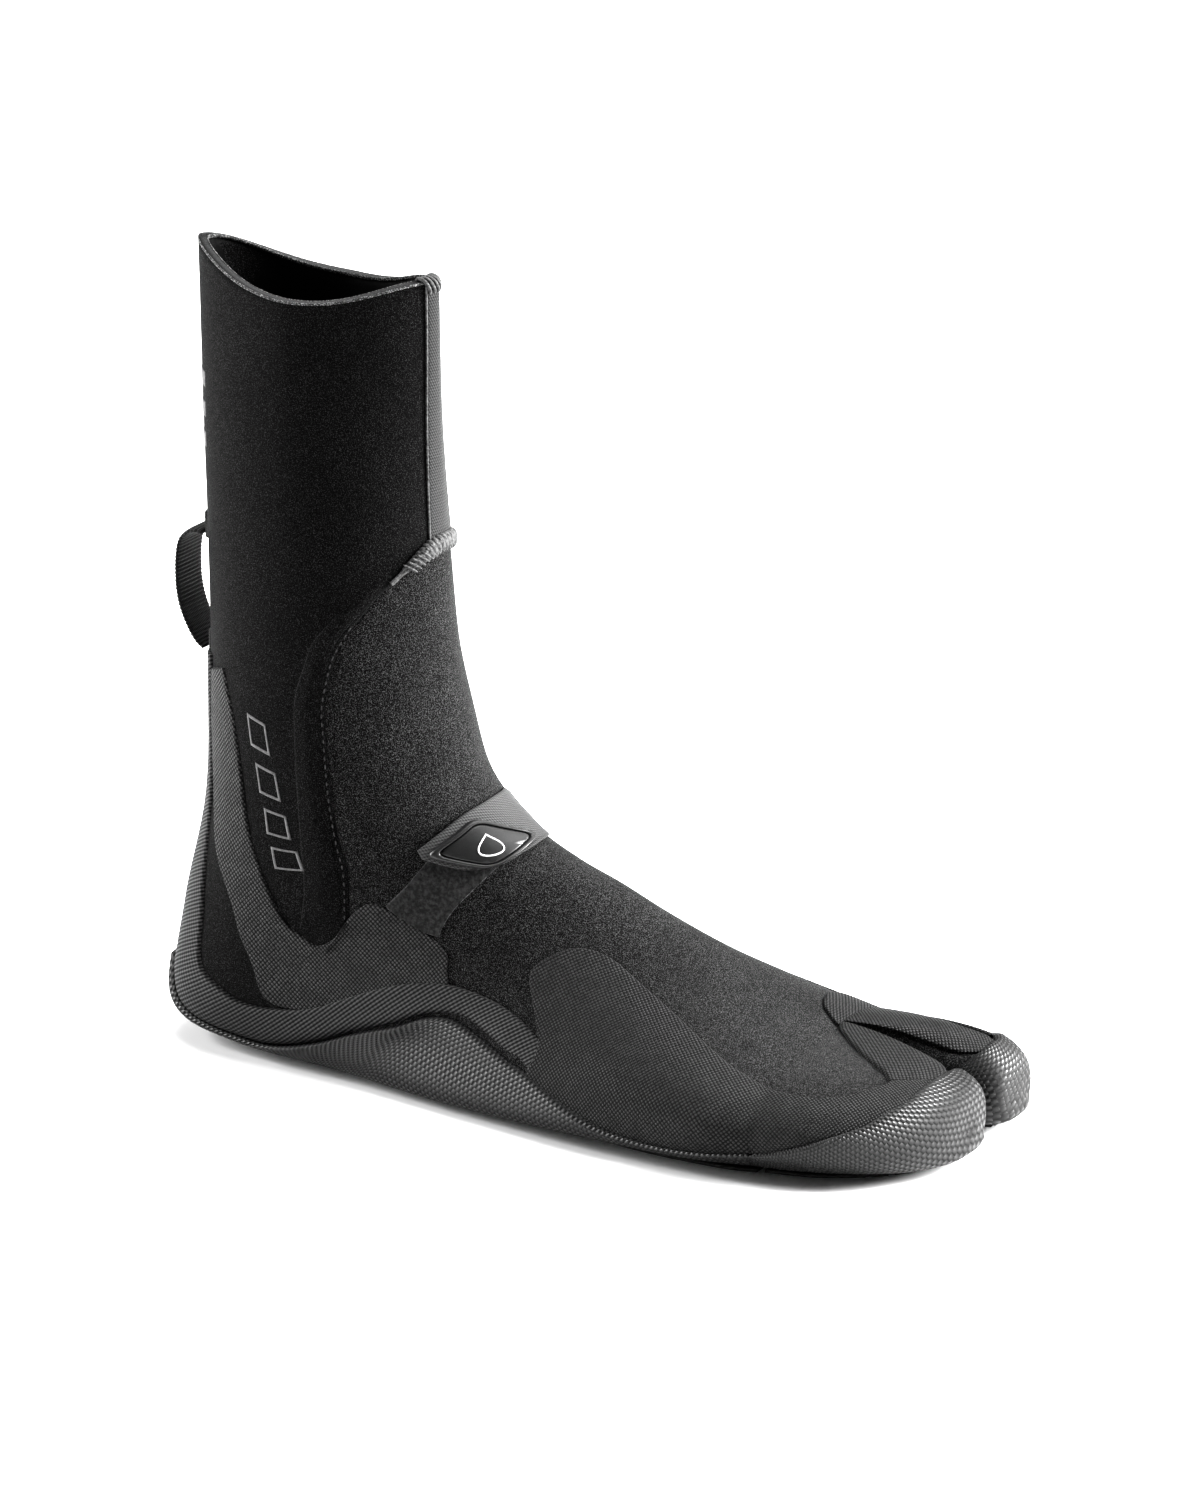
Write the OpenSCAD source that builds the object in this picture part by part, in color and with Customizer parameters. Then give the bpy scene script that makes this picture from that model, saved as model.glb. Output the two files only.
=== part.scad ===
// Split-toe neoprene boot for the right foot, with an instep strap and a heel pull loop.
// Origin: on the ground, straight below the ankle's flex axis. +X to the toes, +Y to the
// inner (big toe) side, +Z up. Every skin is a layer of one last, so neighbouring sheets
// share the same surface.

/* [Overall] */
// Length of the sole, from the back of the heel to the toe tips
sole_len = 272; // [220:1:330]
// Height of the cuff's back edge above the ground
boot_h = 250; // [200:1:300]
// Width of the upper across the ball of the foot
ball_w = 99; // [80:1:120]
// Height of the ankle's flex axis above the ground
ankle_h = 92; // [76:1:112]

/* [Cuff] */
// Depth of the cuff opening from back to front
cuff_depth = 82; // [66:0.5:100]
// Width of the cuff opening from side to side
cuff_w = 42; // [34:1:60]
// Dip of the rim's sides below its front and back
rim_dip = 9; // [0:0.5:14]

/* [Sheets] */
// Thickness of the neoprene sheet
neoprene_t = 3; // [2:0.5:5]
// Thickness of the lining
lining_t = 0.5; // [0.3:0.1:1]
// Thickness of the outsole plate
sole_t = 3; // [2:0.5:5]
// Thickness of the rubber wall and the toe caps
wall_t = 2; // [1.5:0.1:3]
// Thickness of the textured overlays
overlay_t = 1.1; // [0.6:0.1:1.5]
// Thickness of the seam tape, pile patch and prints
trim_t = 0.6; // [0.3:0.1:0.8]
// Thickness of the insole
insole_t = 2; // [1:0.5:4]

/* [Toes] */
// Gap between the two toe pockets at their tips
toe_gap = 8; // [6:0.5:12]

/* [Strap] */
// Width of the instep strap
strap_w = 21; // [17:1:26]
// Thickness of the strap webbing
strap_t = 1; // [0.8:0.1:1.5]
// Thickness of the hook pad under the strap
hook_t = 0.5; // [0.3:0.1:0.8]
// Height of the badge frame above the strap
badge_t = 1.4; // [1:0.1:2]

/* [Pull loop] */
// Width of the loop's webbing
loop_w = 15; // [10:1:18]
// Thickness of the loop's webbing
loop_t = 1.6; // [1:0.1:2.5]
// Reach of the loop behind the heel line
loop_reach = 9.5; // [8:0.5:14]

/* [Fits] */
// Gap between the foot and the shaft along the ankle's arc
ankle_gap = 0.5; // [0.3:0.1:1]
// Gap between the closed strap and what it lies on
strap_gap = 0.3; // [0.3:0.1:0.6]
// Furthest forward flex of the ankle, in degrees
flex_forward = 15; // [8:1:20]

/* [Hidden] */

// ---- Scales: the last is drawn for a 272 mm sole and follows the driving sizes ----
last_len = 272;
last_h = 250;
last_w = 99;
last_ankle = 92;
kx = sole_len / last_len;
ky = ball_w / last_w;
k_foot = ankle_h / last_ankle;
k_shaft = (boot_h - ankle_h) / (last_h - last_ankle);
function X(x) = x * kx;
function Y(y) = y * ky;
function Z(z) = z <= last_ankle ? z * k_foot : ankle_h + (z - last_ankle) * k_shaft;

// Flex axis: its distance in front of the heel's back
axis_x = X(50);

// Stations from the cuff down to the toe crotch:
// back point x z, front point x z, lateral and medial half width, centre y,
// share of the ring's length that lies behind its widest line, front and back roundness
cuff_x = X(4.2);
front_drop = 4.5;
crotch_x = X(220);
crotch_y = Y(7.5);
crotch_h = Z(31);
STATIONS = [
    [cuff_x, boot_h, cuff_x + cuff_depth, boot_h - front_drop, cuff_w / 2, cuff_w / 2, 0, .50, 1.5, 1.6],
    [X(6.2), Z(200), X(86.5), Z(200), Y(24), Y(24), 0, .50, 1.6, 1.8],
    [X(8.5), Z(155), X(88.5), Z(160), Y(28), Y(28), 0, .50, 1.8, 1.9],
    [X(9.5), Z(116), X(91.5), Z(127), Y(31), Y(31), 0, .48, 1.9, 1.9],
    [X(9), Z(78), X(101), Z(92.7), Y(33), Y(33), 0, .46, 2.0, 2.0],
    [X(2), Z(42), X(116), Z(77.5), Y(34), Y(34), 0, .44, 2.0, 2.3],
    [X(2), Z(11), X(132), Z(69.5), Y(34), Y(33), Y(1), .40, 2.0, 3.2],
    [X(28), sole_t, X(146), Z(63.5), Y(34), Y(32), Y(3), .38, 2.0, 4.5],
    [X(72), sole_t, X(161), Z(56), Y(36), Y(31), Y(5), .36, 2.0, 5.6],
    [X(116), sole_t, X(178), Z(48), Y(43), Y(34), Y(7), .36, 2.0, 6.0],
    [X(158), sole_t, X(195), Z(40.7), Y(52), Y(40), Y(8), .37, 2.1, 5.2],
    [X(195), sole_t, X(209), Z(34.8), Y(56), Y(43), Y(8), .38, 2.2, 4.4],
    [crotch_x, sole_t, crotch_x, crotch_h, Y(52.5), Y(43), crotch_y, .40, 2.3, 3.8]];
u_crotch = len(STATIONS) - 1;

// Toe pockets: tip x y z, outer edge y at the crotch, side of the crotch, fullness of the
// outer edge, the inner edge and the top
OUTER_TOES = [X(269.5), Y(-8), Z(14), Y(-52.5), -1, .80, .28, .45];
BIG_TOE = [X(267.5), Y(26), Z(12.5), Y(43), 1, .40, .32, .70];

// ---- The last's surface ----
function at(T, u) =
    let (n = len(T) - 1, i = min(floor(max(u, 0)), n - 1), t = u - i,
        b = T[i], c = T[i + 1],
        a = i > 0 ? T[i - 1] : 2 * b - c,
        d = i < n - 1 ? T[i + 2] : 2 * c - b)
    (2 * b + (c - a) * t + (2 * a - 5 * b + 4 * c - d) * t * t
        + (3 * b - a - 3 * c + d) * t * t * t) / 2;
function lobe(v, n) = pow(pow(abs(cos(v)), n) + pow(abs(sin(v)), n), -1 / n);

// Point on the last at station u, angle v (0 front or top, 90 lateral, 180 back or bottom),
// off mm proud of it
function last(u, v, off = 0) =
    let (q = at(STATIONS, u), d = [q[2] - q[0], q[3] - q[1]], l = norm(d), e = d / l,
        front = cos(v) >= 0, r = lobe(v, front ? q[8] : q[9]),
        a = ((front ? 1 - q[7] : q[7]) * l + off) * r * cos(v),
        w = ((sin(v) >= 0 ? q[4] + q[6] : q[5] - q[6]) + off) * r * sin(v),
        dip = rim_dip * pow(sin(v), 2) * max(0, 1 - u))
    [q[0] + q[7] * d[0] + e[0] * a - axis_x, q[6] - w, q[1] + q[7] * d[1] + e[1] * a - dip];

// Point on a toe pocket, phi from 0 at the crotch to 90 at the tip
function toe(T, phi, v, off = 0) =
    let (k = cos(phi), s = sin(phi),
        inner = crotch_y + T[4] * toe_gap / 2 * pow(s, .7),
        outer_edge = T[1] + (T[3] - T[1]) * pow(k, T[5]),
        inner_edge = T[1] + (inner - T[1]) * pow(k, T[6]),
        low = min(outer_edge, inner_edge), high = max(outer_edge, inner_edge),
        mid = crotch_y + T[4] * .5 + (T[1] - crotch_y) * pow(min(1.3 * s, 1), 1.5),
        yc = min(max(mid, low), high),
        bottom = T[2] - (T[2] - sole_t) * pow(k, .35),
        h = T[2] + (crotch_h - T[2]) * pow(k, T[7]) - bottom,
        lift = .40 + .05 * s, front = cos(v) >= 0,
        r = lobe(v, front ? 2.3 + .1 * s : 3.8 - 1.2 * s),
        a = ((front ? 1 - lift : lift) * h + off) * r * cos(v),
        w = ((sin(v) >= 0 ? yc - low : high - yc) + off) * r * sin(v))
    [crotch_x + (T[0] - crotch_x + off) * s - axis_x, yc - w, bottom + lift * h + a];
function toe_tip(T, off) = [T[0] + off - axis_x, T[1], T[2]];

// ---- Meshes made from the last ----
v_step = 15;
u_step = 0.5;
V = [for (v = [0:v_step:359]) v];
PHI = [0, 12, 24, 36, 48, 58, 67, 75, 81, 86];
nv = len(V);

// Two triangles for the four-sided cell a b c d
function cell(a, b, c, d) = [[a, c, b], [a, d, c]];
function flat(L) = [for (a = L) for (b = a) b];

// A closed sheet between two surfaces given as lists of closed rings, open at both ends
module ring_sheet(outer, inner) {
    n = len(outer);
    m = len(outer[0]);
    points = concat(flat(outer), flat(inner));
    function o(i, j) = i * m + j % m;
    function p(i, j) = n * m + o(i, j);
    polyhedron(points, flat([
        for (i = [0:n - 2], j = [0:m - 1]) cell(o(i, j), o(i, j + 1), o(i + 1, j + 1), o(i + 1, j)),
        for (i = [0:n - 2], j = [0:m - 1]) cell(p(i, j), p(i + 1, j), p(i + 1, j + 1), p(i, j + 1)),
        for (j = [0:m - 1]) cell(o(0, j + 1), o(0, j), p(0, j), p(0, j + 1)),
        for (j = [0:m - 1]) cell(o(n - 1, j), o(n - 1, j + 1), p(n - 1, j + 1), p(n - 1, j))]));
}

// Sheet around one toe pocket between offsets low and high, closed at the tip
module toe_sheet(T, low, high) {
    n = len(PHI);
    m = nv;
    points = concat([for (f = PHI, v = V) toe(T, f, v, high)], [toe_tip(T, high)],
        [for (f = PHI, v = V) toe(T, f, v, low)], [toe_tip(T, low)]);
    function o(i, j) = i * m + j % m;
    function p(i, j) = n * m + 1 + o(i, j);
    polyhedron(points, concat(flat([
        for (i = [0:n - 2], j = [0:m - 1]) cell(o(i, j), o(i, j + 1), o(i + 1, j + 1), o(i + 1, j)),
        for (i = [0:n - 2], j = [0:m - 1]) cell(p(i, j), p(i + 1, j), p(i + 1, j + 1), p(i, j + 1)),
        for (j = [0:m - 1]) cell(o(0, j + 1), o(0, j), p(0, j), p(0, j + 1))]),
        [for (j = [0:m - 1]) [o(n - 1, j + 1), o(n - 1, j), n * m]],
        [for (j = [0:m - 1]) [p(n - 1, j), p(n - 1, j + 1), 2 * n * m + 1]]));
}

// Sheet around the foot and the shaft, from the cuff to the toe crotch
module body_sheet(low, high) {
    U = [for (u = [0:u_step:u_crotch]) u];
    ring_sheet([for (u = U) [for (v = V) last(u, v, high)]],
        [for (u = U) [for (v = V) last(u, v, low)]]);
}

// Patch between two edge curves, lists of [u, v] points, from offset low to high. Its rows
// and columns may be a part of the grid, or reach past it
function turn(a, b) = cross(a[len(a) - 1] - a[0], b[0] + b[len(b) - 1] - a[0] - a[len(a) - 1]);
module patch(edge_a, edge_b, low, high, nt = 12, ns = 4, rows = undef, columns = undef) {
    first = turn(edge_a, edge_b) > 0 ? edge_a : edge_b;
    second = turn(edge_a, edge_b) > 0 ? edge_b : edge_a;
    i0 = rows == undef ? 0 : rows[0];
    i1 = rows == undef ? nt : rows[1];
    j0 = columns == undef ? 0 : columns[0];
    j1 = columns == undef ? ns : columns[1];
    function uv(i, j) = let (t = i / nt, a = at(first, t * (len(first) - 1)),
        b = at(second, t * (len(second) - 1))) a + (b - a) * j / ns;
    function q(i, j, off) = let (w = uv(i, j)) last(w[0], w[1], off);
    n = i1 - i0;
    m = j1 - j0;
    points = concat([for (i = [i0:i1], j = [j0:j1]) q(i, j, high)],
        [for (i = [i0:i1], j = [j0:j1]) q(i, j, low)]);
    function o(i, j) = i * (m + 1) + j;
    function p(i, j) = (n + 1) * (m + 1) + o(i, j);
    polyhedron(points, flat([
        for (i = [0:n - 1], j = [0:m - 1]) cell(o(i, j), o(i, j + 1), o(i + 1, j + 1), o(i + 1, j)),
        for (i = [0:n - 1], j = [0:m - 1]) cell(p(i, j), p(i + 1, j), p(i + 1, j + 1), p(i, j + 1)),
        for (j = [0:m - 1]) cell(o(0, j + 1), o(0, j), p(0, j), p(0, j + 1)),
        for (j = [0:m - 1]) cell(o(n, j), o(n, j + 1), p(n, j + 1), p(n, j)),
        for (i = [0:n - 1]) cell(o(i, 0), o(i + 1, 0), p(i + 1, 0), p(i, 0)),
        for (i = [0:n - 1]) cell(o(i + 1, m), o(i, m), p(i, m), p(i + 1, m))]));
}

// Keeps the result of cutting sheets as one plain mesh
module mesh() resize([0, 0, 0]) children();

// ---- Side-view cutting ----
reach = 1000;
side_reach = 120;
// Extrudes a 2-D shape drawn in the side view (x, z) across one half or both
module across(side = 0) {
    rotate([90, 0, 0])
        translate([0, 0, side > 0 ? -side_reach : (side < 0 ? 0 : -side_reach)])
            linear_extrude((side == 0 ? 2 : 1) * side_reach) children();
}
function side_points(L) = [for (p = L) [X(p[0]) - axis_x, Z(p[1])]];
module pattern(L) polygon(side_points(L));

// The ankle's arc clears the strap's tip, and the wedge lets the shaft's front come down.
STRAP_TIP = [4.82, 52];
tip_clear = 0.8;
strap_low = trim_t + strap_gap;
strap_top = strap_low + hook_t + strap_t;
tip = last(STRAP_TIP[0], STRAP_TIP[1], strap_top);
arc_r = norm([tip[0], tip[2] - ankle_h]) - tip_clear;
wedge_r = X(101) - axis_x + tip_clear;
wedge_a = flex_forward + 3;

module shaft_side() {
    translate([0, ankle_h]) circle(arc_r - ankle_gap / 2, $fn = 96);
    translate([-reach / 2, ankle_h]) square(reach);
}
module foot_side() difference() {
    translate([-reach / 2, ankle_h - reach]) square(reach);
    translate([0, ankle_h]) circle(arc_r + ankle_gap / 2, $fn = 96);
    translate([0, ankle_h]) polygon(concat([[0, 1], [wedge_r, 1]],
        [for (i = [0:6]) wedge_r * [cos(-wedge_a * i / 6), sin(-wedge_a * i / 6)]], [[0, 0]]));
}
module in_shaft() mesh() intersection() {
    children();
    across() shaft_side();
}
module in_foot() mesh() intersection() {
    children();
    across() foot_side();
}
module above_sole() translate([-reach / 2, -reach / 2, sole_t]) cube(reach);
// Solid cutter over an area of the last, given by two edge curves
module cutter(edge_a, edge_b, depth = 1, proud = 3, nt = 12, ns = 6)
    patch(edge_a, edge_b, -depth, proud, nt, ns);
function mirror_v(L) = [for (p = L) [p[0], -p[1]]];

// ---- Outlines, drawn in millimetres of the 272 mm last (x from the heel, z from the ground) ----
// Upper edge of the sole wall
WALL_TOP = [[4, 20], [13, 11], [34, 7], [52, 7], [63, 10], [74, 15], [90, 21], [101, 25.5],
    [110, 26.5], [121, 24], [138, 18], [154, 13.5], [171, 11], [190, 10], [223, 11]];
// Upper edge of the rand, from the heel spine to the toe guard
RAND_TOP = [[19, 31], [28, 24], [38, 20], [49, 19], [61, 22], [75, 28], [89, 34], [104, 37],
    [116, 35], [129, 32], [144, 28]];
SPINE_FRONT = [[19, 31], [19, 44], [18, 62], [18, 79], [17, 101], [16, 112]];
spine_top = 112;
// U-shaped edge of the ankle strut, from its top down and up again to the arch flap
STRUT_EDGE = [[26, 123], [31, 105], [36, 80], [43, 63], [49, 52], [57, 45], [64, 43], [70, 48],
    [73, 54]];
STRUT_REAR = [[47, 20], [41, 32], [35, 42], [29, 55], [25, 67], [20, 70]];
FLAP_EDGE = [[73, 54], [79, 58], [85, 57.5], [91, 55], [99, 50], [105, 45], [106, 41], [104, 37]];
GUARD_EDGE = [[144, 28], [138, 36], [136.5, 42], [137, 47], [140, 50], [148, 50], [155, 48],
    [166, 43], [180, 38], [193, 33], [208, 29], [223, 26]];
seam_x = 73;
function between(L, low, high) = [for (p = L) if (p[0] > low && p[0] < high) p];
function reversed(L) = [for (i = [len(L) - 1:-1:0]) L[i]];

// ---- Sole ----
// Plan of the sole's edge on each side, behind the toes
SOLE_LATERAL = [[23, -26], [37, -31], [53, -34.5], [78, -35.5], [107, -38.5], [142, -48],
    [173, -55], [207, -57]];
SOLE_MEDIAL = [[23, 26], [37, 30], [53, 32.5], [78, 32.5], [107, 33.5], [142, 38.5],
    [173, 43.5], [207, 45.5]];
heel_r = 23;
function toe_side(T, v, off) = [for (f = PHI) if (f > 0) let (p = toe(T, f, v, off)) [p[0], p[1]]];
// The sides that face the gap stay clear of its middle line
function gap_side(T, v, off) = [for (p = toe_side(T, v, off))
    [p[0], crotch_y + T[4] * max(.5, (p[1] - crotch_y) * T[4])]];
function tip_xy(T, off) = [toe_tip(T, off)[0], toe_tip(T, off)[1]];
function plan(inset) = let (off = wall_t - inset) concat(
    [for (p = SOLE_LATERAL) [X(p[0]) - axis_x, Y(p[1]) + inset]],
    toe_side(OUTER_TOES, 90, off), [tip_xy(OUTER_TOES, off)],
    reversed(gap_side(OUTER_TOES, 270, off)),
    gap_side(BIG_TOE, 90, off), [tip_xy(BIG_TOE, off)], reversed(toe_side(BIG_TOE, 270, off)),
    reversed([for (p = SOLE_MEDIAL) [X(p[0]) - axis_x, Y(p[1]) - inset]]),
    [for (a = [75:-15:-75]) [X(heel_r) - axis_x - (X(heel_r) - inset) * cos(a),
        (Y(26) - inset) * sin(a)]]);
module outsole() color([.13, .13, .14]) linear_extrude(sole_t) polygon(plan(0));
// The room inside the foot, closed at its ends, from under the ankle to the toe tips
fill_start = 5;
module filled_body(off) {
    U = [for (u = [fill_start:u_step:u_crotch]) u];
    n = len(U);
    function o(i, j) = i * nv + j % nv;
    polyhedron([for (u = U, v = V) last(u, v, off)], concat(
        flat([for (i = [0:n - 2], j = [0:nv - 1])
            cell(o(i, j), o(i, j + 1), o(i + 1, j + 1), o(i + 1, j))]),
        [[for (j = [0:nv - 1]) j]],
        [[for (j = [nv - 1:-1:0]) o(n - 1, j)]]));
}
module filled_toe(T, off) {
    n = len(PHI);
    function o(i, j) = i * nv + j % nv;
    polyhedron(concat([for (f = PHI, v = V) toe(T, f, v, off)], [toe_tip(T, off)]), concat(
        flat([for (i = [0:n - 2], j = [0:nv - 1])
            cell(o(i, j), o(i, j + 1), o(i + 1, j + 1), o(i + 1, j))]),
        [[for (j = [0:nv - 1]) j]],
        [for (j = [0:nv - 1]) [o(n - 1, j + 1), o(n - 1, j), n * nv]]));
}
insole_z = sole_t + neoprene_t + lining_t;
module insole() color([.3, .3, .32]) mesh() intersection() {
    union() {
        filled_body(-neoprene_t - lining_t);
        filled_toe(OUTER_TOES, -neoprene_t);
        filled_toe(BIG_TOE, -neoprene_t);
    }
    translate([-reach / 2, -reach / 2, insole_z]) cube([reach, reach, insole_t]);
}

module wall_area() pattern(concat([[-30, -5], [-30, 20]], WALL_TOP, [[223, -5]]));
module sole_wall() color([.16, .16, .17]) mesh() intersection() {
    body_sheet(0, wall_t);
    above_sole();
    across() wall_area();
}
// Trim line of the caps, low along the side and up over the tip
CAP_AREA = [[215, -5], [215, 13], [236, 16], [248, 22], [256, 30], [260, 50], [300, 50], [300, -5]];
cap_gap = 0.3;
module toe_cap(T) color([.18, .18, .19]) mesh() intersection() {
    toe_sheet(T, 0, wall_t);
    above_sole();
    across() pattern(CAP_AREA);
    translate([-reach / 2, T[4] > 0 ? crotch_y + cap_gap : crotch_y - cap_gap - reach, 0])
        cube(reach);
}
module big_toe_cap() toe_cap(BIG_TOE);
module outer_toe_cap() toe_cap(OUTER_TOES);

// ---- Textured overlays ----
module overlay_foot(side) color([.27, .27, .28]) in_foot() intersection() {
    body_sheet(0, overlay_t);
    across(side) children();
}
module overlay_shaft(side) color([.27, .27, .28]) in_shaft() intersection() {
    body_sheet(0, overlay_t);
    across(side) children();
}
module spine_area() pattern(concat([[-30, 20.5], [4, 20.5], [13, 11.5], [19, 10.5]], SPINE_FRONT,
    [[-30, spine_top]]));
module rand_area() pattern(concat([[19, 10.5]], RAND_TOP, [[144, 16.8]],
    reversed(between(WALL_TOP, 20, 143))));
module strut_area() pattern(concat([[17, 123]], STRUT_EDGE, [[seam_x, 27.5], [61, 22.3], [49, 19.3]],
    STRUT_REAR, [[18.2, 79], [17.2, 101]]));
module flap_area() pattern(concat(FLAP_EDGE, [[89, 34], [75, 28], [seam_x, 27.5]]));
module guard_area() pattern(concat(GUARD_EDGE, reversed(between(WALL_TOP, 145, 230)),
    [[144, 17]]));
module heel_spine() overlay_foot(0) spine_area();
module achilles_strip() overlay_shaft(0) spine_area();
module rand_lateral() overlay_foot(-1) rand_area();
module rand_medial() overlay_foot(1) rand_area();
module ankle_strut_lateral() overlay_foot(-1) strut_area();
module ankle_strut_medial() overlay_foot(1) strut_area();
module shaft_strut_lateral() overlay_shaft(-1) strut_area();
module shaft_strut_medial() overlay_shaft(1) strut_area();
module arch_flap_lateral() overlay_foot(-1) flap_area();
module arch_flap_medial() overlay_foot(1) flap_area();
module toe_guard_lateral() overlay_foot(-1) guard_area();
module toe_guard_medial() overlay_foot(1) guard_area();

// ---- Neoprene panels ----
// Side seam between the front panel and the wrapped rear panel
SEAM = [[1.9, 3], [2.05, 33], [2.27, 47], [2.62, 63], [3.12, 71], [3.95, 72], [4.85, 71], [6, 74]];
module neoprene() body_sheet(-neoprene_t, 0);
module front_cut() cutter(SEAM, mirror_v(SEAM), neoprene_t + 1, 1, 16, 12);
module footbed_slab() translate([-reach / 2, -reach / 2, 0]) cube([reach, reach, sole_t + neoprene_t]);
module cuff_panel() color([.12, .12, .13]) in_shaft() difference() {
    neoprene();
    front_cut();
}
module shaft_front_panel() color([.15, .15, .16]) in_shaft() intersection() {
    neoprene();
    front_cut();
}
module heel_side() translate([-reach + X(seam_x) - axis_x, -reach / 2, 0]) cube(reach);
module heel_panel() color([.12, .12, .13]) in_foot() difference() {
    intersection() {
        neoprene();
        heel_side();
    }
    footbed_slab();
}
module vamp_panel() color([.15, .15, .16]) in_foot() difference() {
    neoprene();
    heel_side();
    footbed_slab();
}
module footbed_panel() color([.1, .1, .1]) mesh() intersection() {
    neoprene();
    footbed_slab();
    above_sole();
}
module outer_toe_sleeve() color([.15, .15, .16]) toe_sheet(OUTER_TOES, -neoprene_t, 0);
module big_toe_sleeve() color([.15, .15, .16]) toe_sheet(BIG_TOE, -neoprene_t, 0);
module lining() body_sheet(-neoprene_t - lining_t, -neoprene_t);
module foot_lining() color([.45, .45, .47]) in_foot() lining();
module shaft_lining() color([.45, .45, .47]) in_shaft() lining();

// ---- Shaft trim ----
module trim(edge_a, edge_b, thick, nt = 8, ns = 2) mesh() intersection() {
    body_sheet(0, thick);
    cutter(edge_a, edge_b, .5, thick + 2, nt, ns);
}
TAPE_EDGE = [[.01, 10], [1, 12], [1.76, 14]];
module front_seam_tape() color([.4, .4, .41]) trim(TAPE_EDGE, mirror_v(TAPE_EDGE), trim_t, 6, 4);
// Overlock bar across the lower end of the front seam
BAR_UPPER = [[1.8, -14], [1.84, 0], [1.93, 14], [1.99, 30]];
BAR_LOWER = [[1.98, -14], [2.02, 0], [2.1, 14], [2.14, 30]];
module front_bar_tack() color([.6, .6, .6]) trim(BAR_UPPER, BAR_LOWER, trim_t, 8, 1);
seam_half = 3;
SEAM_RUN = [[2.2, 43], [2.62, 63], [3.12, 71], [3.95, 72], [4.7, 71]];
module side_seam(side) color([.3, .3, .31]) in_shaft()
    trim([for (p = SEAM_RUN) [p[0], side * (p[1] - seam_half)]],
        [for (p = SEAM_RUN) [p[0], side * (p[1] + seam_half)]], trim_t, 12, 1);
module side_seam_lateral() side_seam(1);
module side_seam_medial() side_seam(-1);
// Sewn ends of the pull loop, one above and one below the open part
TAB_ROWS = [[1.74, 1.95], [2.68, 2.88]];
tab_half = 13;
function tab_edge(u) = [[u, 180 - tab_half], [u, 180 + tab_half]];
module loop_tabs() color([.2, .2, .2]) mesh()
    for (row = TAB_ROWS) trim(tab_edge(row[0]), tab_edge(row[1]), overlay_t, 2, 1);
print_t = 0.3;
// Four slanted bars down the outer side
BAR_COUNT = 4;
bar_start = [3.22, 103];
bar_pitch = [.40, -4.2];
BAR = [[0, 6.5], [.26, 4.5], [.34, -6.5], [.08, -4.5]];
module side_print() color([.75, .75, .75]) mesh() for (k = [0:BAR_COUNT - 1])
    let (c = [for (p = BAR) p + bar_start + k * bar_pitch])
        trim([c[0], c[1]], [c[3], c[2]], print_t, 2, 1);
// Three stacked bars on the back, towards its outer side
back_start = [.78, 140];
back_pitch = [.20, 2];
BACK_UPPER = [[0, 0], [.03, 20], [.02, 42]];
back_bar = .10;
module back_print() color([.75, .75, .75]) mesh() for (k = [0:2])
    let (c = [for (p = BACK_UPPER) p + back_start + k * back_pitch])
        trim(c, [for (p = c) p + [back_bar, 0]], print_t, 4, 1);

// ---- Pull loop ----
// The moving webbing starts just clear of the tabs that hold it
loop_start = X(5.2) - axis_x;
loop_foot = Z(124);
loop_head = Z(158);
loop_out = X(8) - axis_x - loop_reach;
loop_rise = loop_head - loop_foot;
// Length of its ends that stand straight out, and how much they slope
loop_end = 3;
loop_slope = 1.5;
function loop_line(out) = [
    [loop_start, loop_foot - out],
    [loop_start - loop_end, loop_foot + loop_slope - out],
    [loop_out + 1.5 - out * .8, loop_foot + loop_rise * .26],
    [loop_out - out, loop_foot + loop_rise * .42],
    [loop_out - out, loop_foot + loop_rise * .62],
    [loop_out + 2.5 - out * .7, loop_foot + loop_rise * .85],
    [loop_start - loop_end, loop_head - loop_slope + out],
    [loop_start, loop_head + out]];
loop_steps = 24;
function smooth(L) = [for (i = [0:loop_steps]) at(L, i / loop_steps * (len(L) - 1))];
module pull_loop() color([.15, .15, .15]) translate([0, loop_w / 2, 0]) rotate([90, 0, 0])
    linear_extrude(loop_w)
        polygon(concat(smooth(loop_line(loop_t / 2)), reversed(smooth(loop_line(-loop_t / 2)))));

// ---- Instep strap ----
strap_mid = 4.76;
// Length on the instep from one station to the next
station_gap = 21 * k_foot;
half = strap_w / station_gap / 2;
tip_half = 0.05;
STRAP_UPPER = [[strap_mid - half, -8], [strap_mid - half, 10], [strap_mid - .8 * half, 25],
    [strap_mid - .4 * half, 40], [STRAP_TIP[0] - tip_half, STRAP_TIP[1]]];
STRAP_LOWER = [[strap_mid + half, -8], [strap_mid + half, 8], [strap_mid + 1.2 * half, 25],
    [strap_mid + .9 * half, 40], [STRAP_TIP[0] + tip_half, STRAP_TIP[1]]];
strap_rows = 14;
strap_columns = 5;
module on_strap(low, high, rows, columns)
    patch(STRAP_UPPER, STRAP_LOWER, low, high, strap_rows, strap_columns, rows, columns);
module instep_strap() color([.2, .2, .2])
    on_strap(strap_low + hook_t, strap_top, [0, strap_rows], [0, strap_columns]);
module hook_pad() color([.1, .1, .1])
    on_strap(strap_low, strap_low + hook_t, [3, strap_rows - 2], [1, strap_columns - 1]);
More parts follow.
